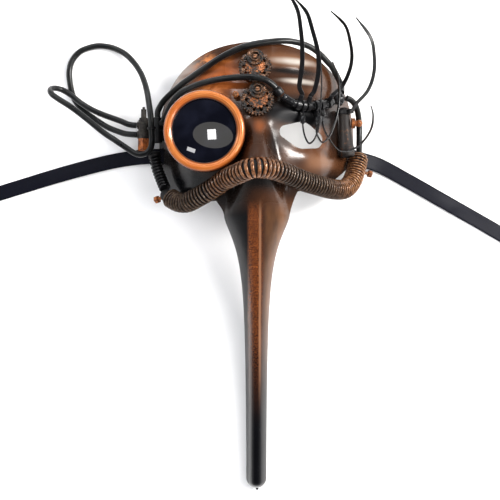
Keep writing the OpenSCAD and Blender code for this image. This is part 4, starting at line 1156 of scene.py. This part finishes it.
# ---- Ribbons ----
RIBBON_W, CLOTH_T = 12.7, 0.22
HANK_LAYERS, HANK_REACH, HANK_STEP = 6, 55.0, 0.82
RIBBONS = {
    "left": ([[-73, -13, 7.5], [-80, -13, 7.5], [-92, -13, 5.2], [-108, -14, 1.4], [-126, -17, 0.6],
              [-150, -23, 1.4], [-175, -30, 2], [-200, -37.5, 0.8], [-226, -45.5, 0.6]], (-225, -45.2), 197),
    "right": ([[73, -13, 7.5], [80, -13, 7.5], [92, -16, 4.5], [108, -21, 1.2], [132, -34, 0.6],
               [160, -50, 1.2], [190, -67, 0.6], [216, -82, 0.6]], (215, -81.5), -29),
}


def make_ribbon(side, route, fold_at, fold_turn):
    """A satin ribbon: through the slot, along the floor, its spare length folded flat in a hank."""
    lead = smooth_route(route, 10)
    run = np.array([math.cos(math.radians(fold_turn)), math.sin(math.radians(fold_turn)), 0])
    first = np.array([fold_at[0], fold_at[1], 0.0])
    fold = []
    for k in range(HANK_LAYERS):
        ends = (2.0, HANK_REACH) if k % 2 == 0 else (HANK_REACH, 2.0)
        for s in np.linspace(ends[0], ends[1], 14):
            sag = 0.10 * math.sin(s * 0.11 + k)
            fold.append(first + run * s + np.array([0, 0, 0.45 + HANK_STEP * k + sag]))
        if k < HANK_LAYERS - 1:
            turn_sign = 1 if k % 2 == 0 else -1
            for a in (0.25, 0.5, 0.75):
                bow = math.sin(a * math.pi) * HANK_STEP / 2
                high = np.array([0, 0, 0.45 + HANK_STEP * (k + a)])
                fold.append(first + run * (ends[1] + turn_sign * bow) + high)
    path = np.vstack([lead[:-2], fold])
    _, across, up = carried_frames(path, (0, 1, 0))
    share = np.concatenate([[0], np.cumsum(np.linalg.norm(np.diff(path, axis=0), axis=1))])
    lanes = np.linspace(-0.5, 0.5, 9)
    points = []
    for i, p in enumerate(path):
        loose = ease((share[i] - 25) / 30) * (1 - ease((share[i] - length_of(lead) + 20) / 20))
        for v in lanes:
            lift = loose * (0.35 * math.sin(share[i] * 0.09 + v * 2.2) * v + 0.25 * (0.25 - v * v) * 4)
            points.append(p + across[i] * v * RIBBON_W + up[i] * lift * (1 if up[i][2] > 0 else -1))
    w = len(lanes)
    faces = [(i * w + k, i * w + k + 1, (i + 1) * w + k + 1, (i + 1) * w + k)
             for i in range(len(path) - 1) for k in range(w - 1)]
    points = np.array(points)
    points[:, 2] = np.maximum(points[:, 2], 0.15)
    piece = add_mesh(f"satin_{side}", points, faces, 80, outwards=False)
    for label, values in (("across", np.tile(lanes + 0.5, len(path))), ("length", np.repeat(share * MM, w))):
        layer = piece.data.attributes.new(label, "FLOAT", "POINT")
        layer.data.foreach_set("value", values)
    wall = piece.modifiers.new("cloth", "SOLIDIFY")
    wall.thickness, wall.offset = CLOTH_T * MM, 0
    knot = []
    for k, (r, z) in enumerate(((3.0, -3.2), (3.6, -1.0), (3.5, 1.2), (2.9, 3.2))):
        loop = [lead[0] + np.array([r * math.cos(t), z + 0.8 * math.sin(t + k), r * 0.8 * math.sin(t)])
                for t in np.linspace(0, 2 * math.pi, 33)[:-1]]
        knot.append(sweep("turn", np.array(loop), flat_outline(2.6, 0.9, 0.3), (0, 1, 0), closed=True))
    knot = finish_piece(joined(f"ribbon_knot_{side}", knot), "satin")
    for label in ("across", "length"):
        layer = knot.data.attributes.new(label, "FLOAT", "POINT")
        layer.data.foreach_set("value", np.full(len(knot.data.vertices), 0.5))
    middle = first + run * 28 + np.array([0, 0, 2.7])
    flat = np.array([-run[1], run[0], 0])
    corners = ((-1, -0.5), (-1, 0.5), (-0.8, 0.93), (0, 0.98), (0.8, 0.93), (1, 0.5), (1, -0.5),
               (0.8, -0.86), (0, -0.88), (-0.8, -0.86))
    band = np.array([middle + flat * a * 6.9 + np.array([0, 0, b * 3.0]) for a, b in corners])
    thread = sweep(f"hank_thread_{side}", band, flat_outline(3.0, 0.35, 0.12), run, closed=True)
    tie = finish_piece(thread, "nylon")
    finish_piece(piece, "satin", stands_for=(f"ribbon_{side}",))


# ---- The CAD's own metal and plastic pieces ----
def paint_cad_nodes():
    slots = {p["node"]: p["material_slot"] for p in frame["record"]["subparts"]}
    for name, node in nodes.items():
        finish = FINISHES[slots[name]]
        node.data.materials.clear()
        node.data.materials.append(finish.material)


FLOOR_HALF, FLOOR_Z = 4.0, -0.0004   # metres; just under the lowest piece


def make_floor():
    work = bpy.data.meshes.new("floor")
    corners = [(x * FLOOR_HALF, y * FLOOR_HALF, FLOOR_Z) for x, y in ((-1, -1), (1, -1), (1, 1), (-1, 1))]
    work.from_pydata(corners, [], [(0, 1, 2, 3)])
    floor = bpy.data.objects.new("floor", work)
    bpy.context.scene.collection.objects.link(floor)
    work.materials.append(FINISHES["floor"].material)


set_camera()
set_lights()
set_finishes()
make_cables()
make_shell()
make_goggle()
make_hoses()
make_brow()
make_lashes()
make_temple_tube()
make_ribbon("left", *RIBBONS["left"])
make_ribbon("right", *RIBBONS["right"])
paint_cad_nodes()
make_floor()
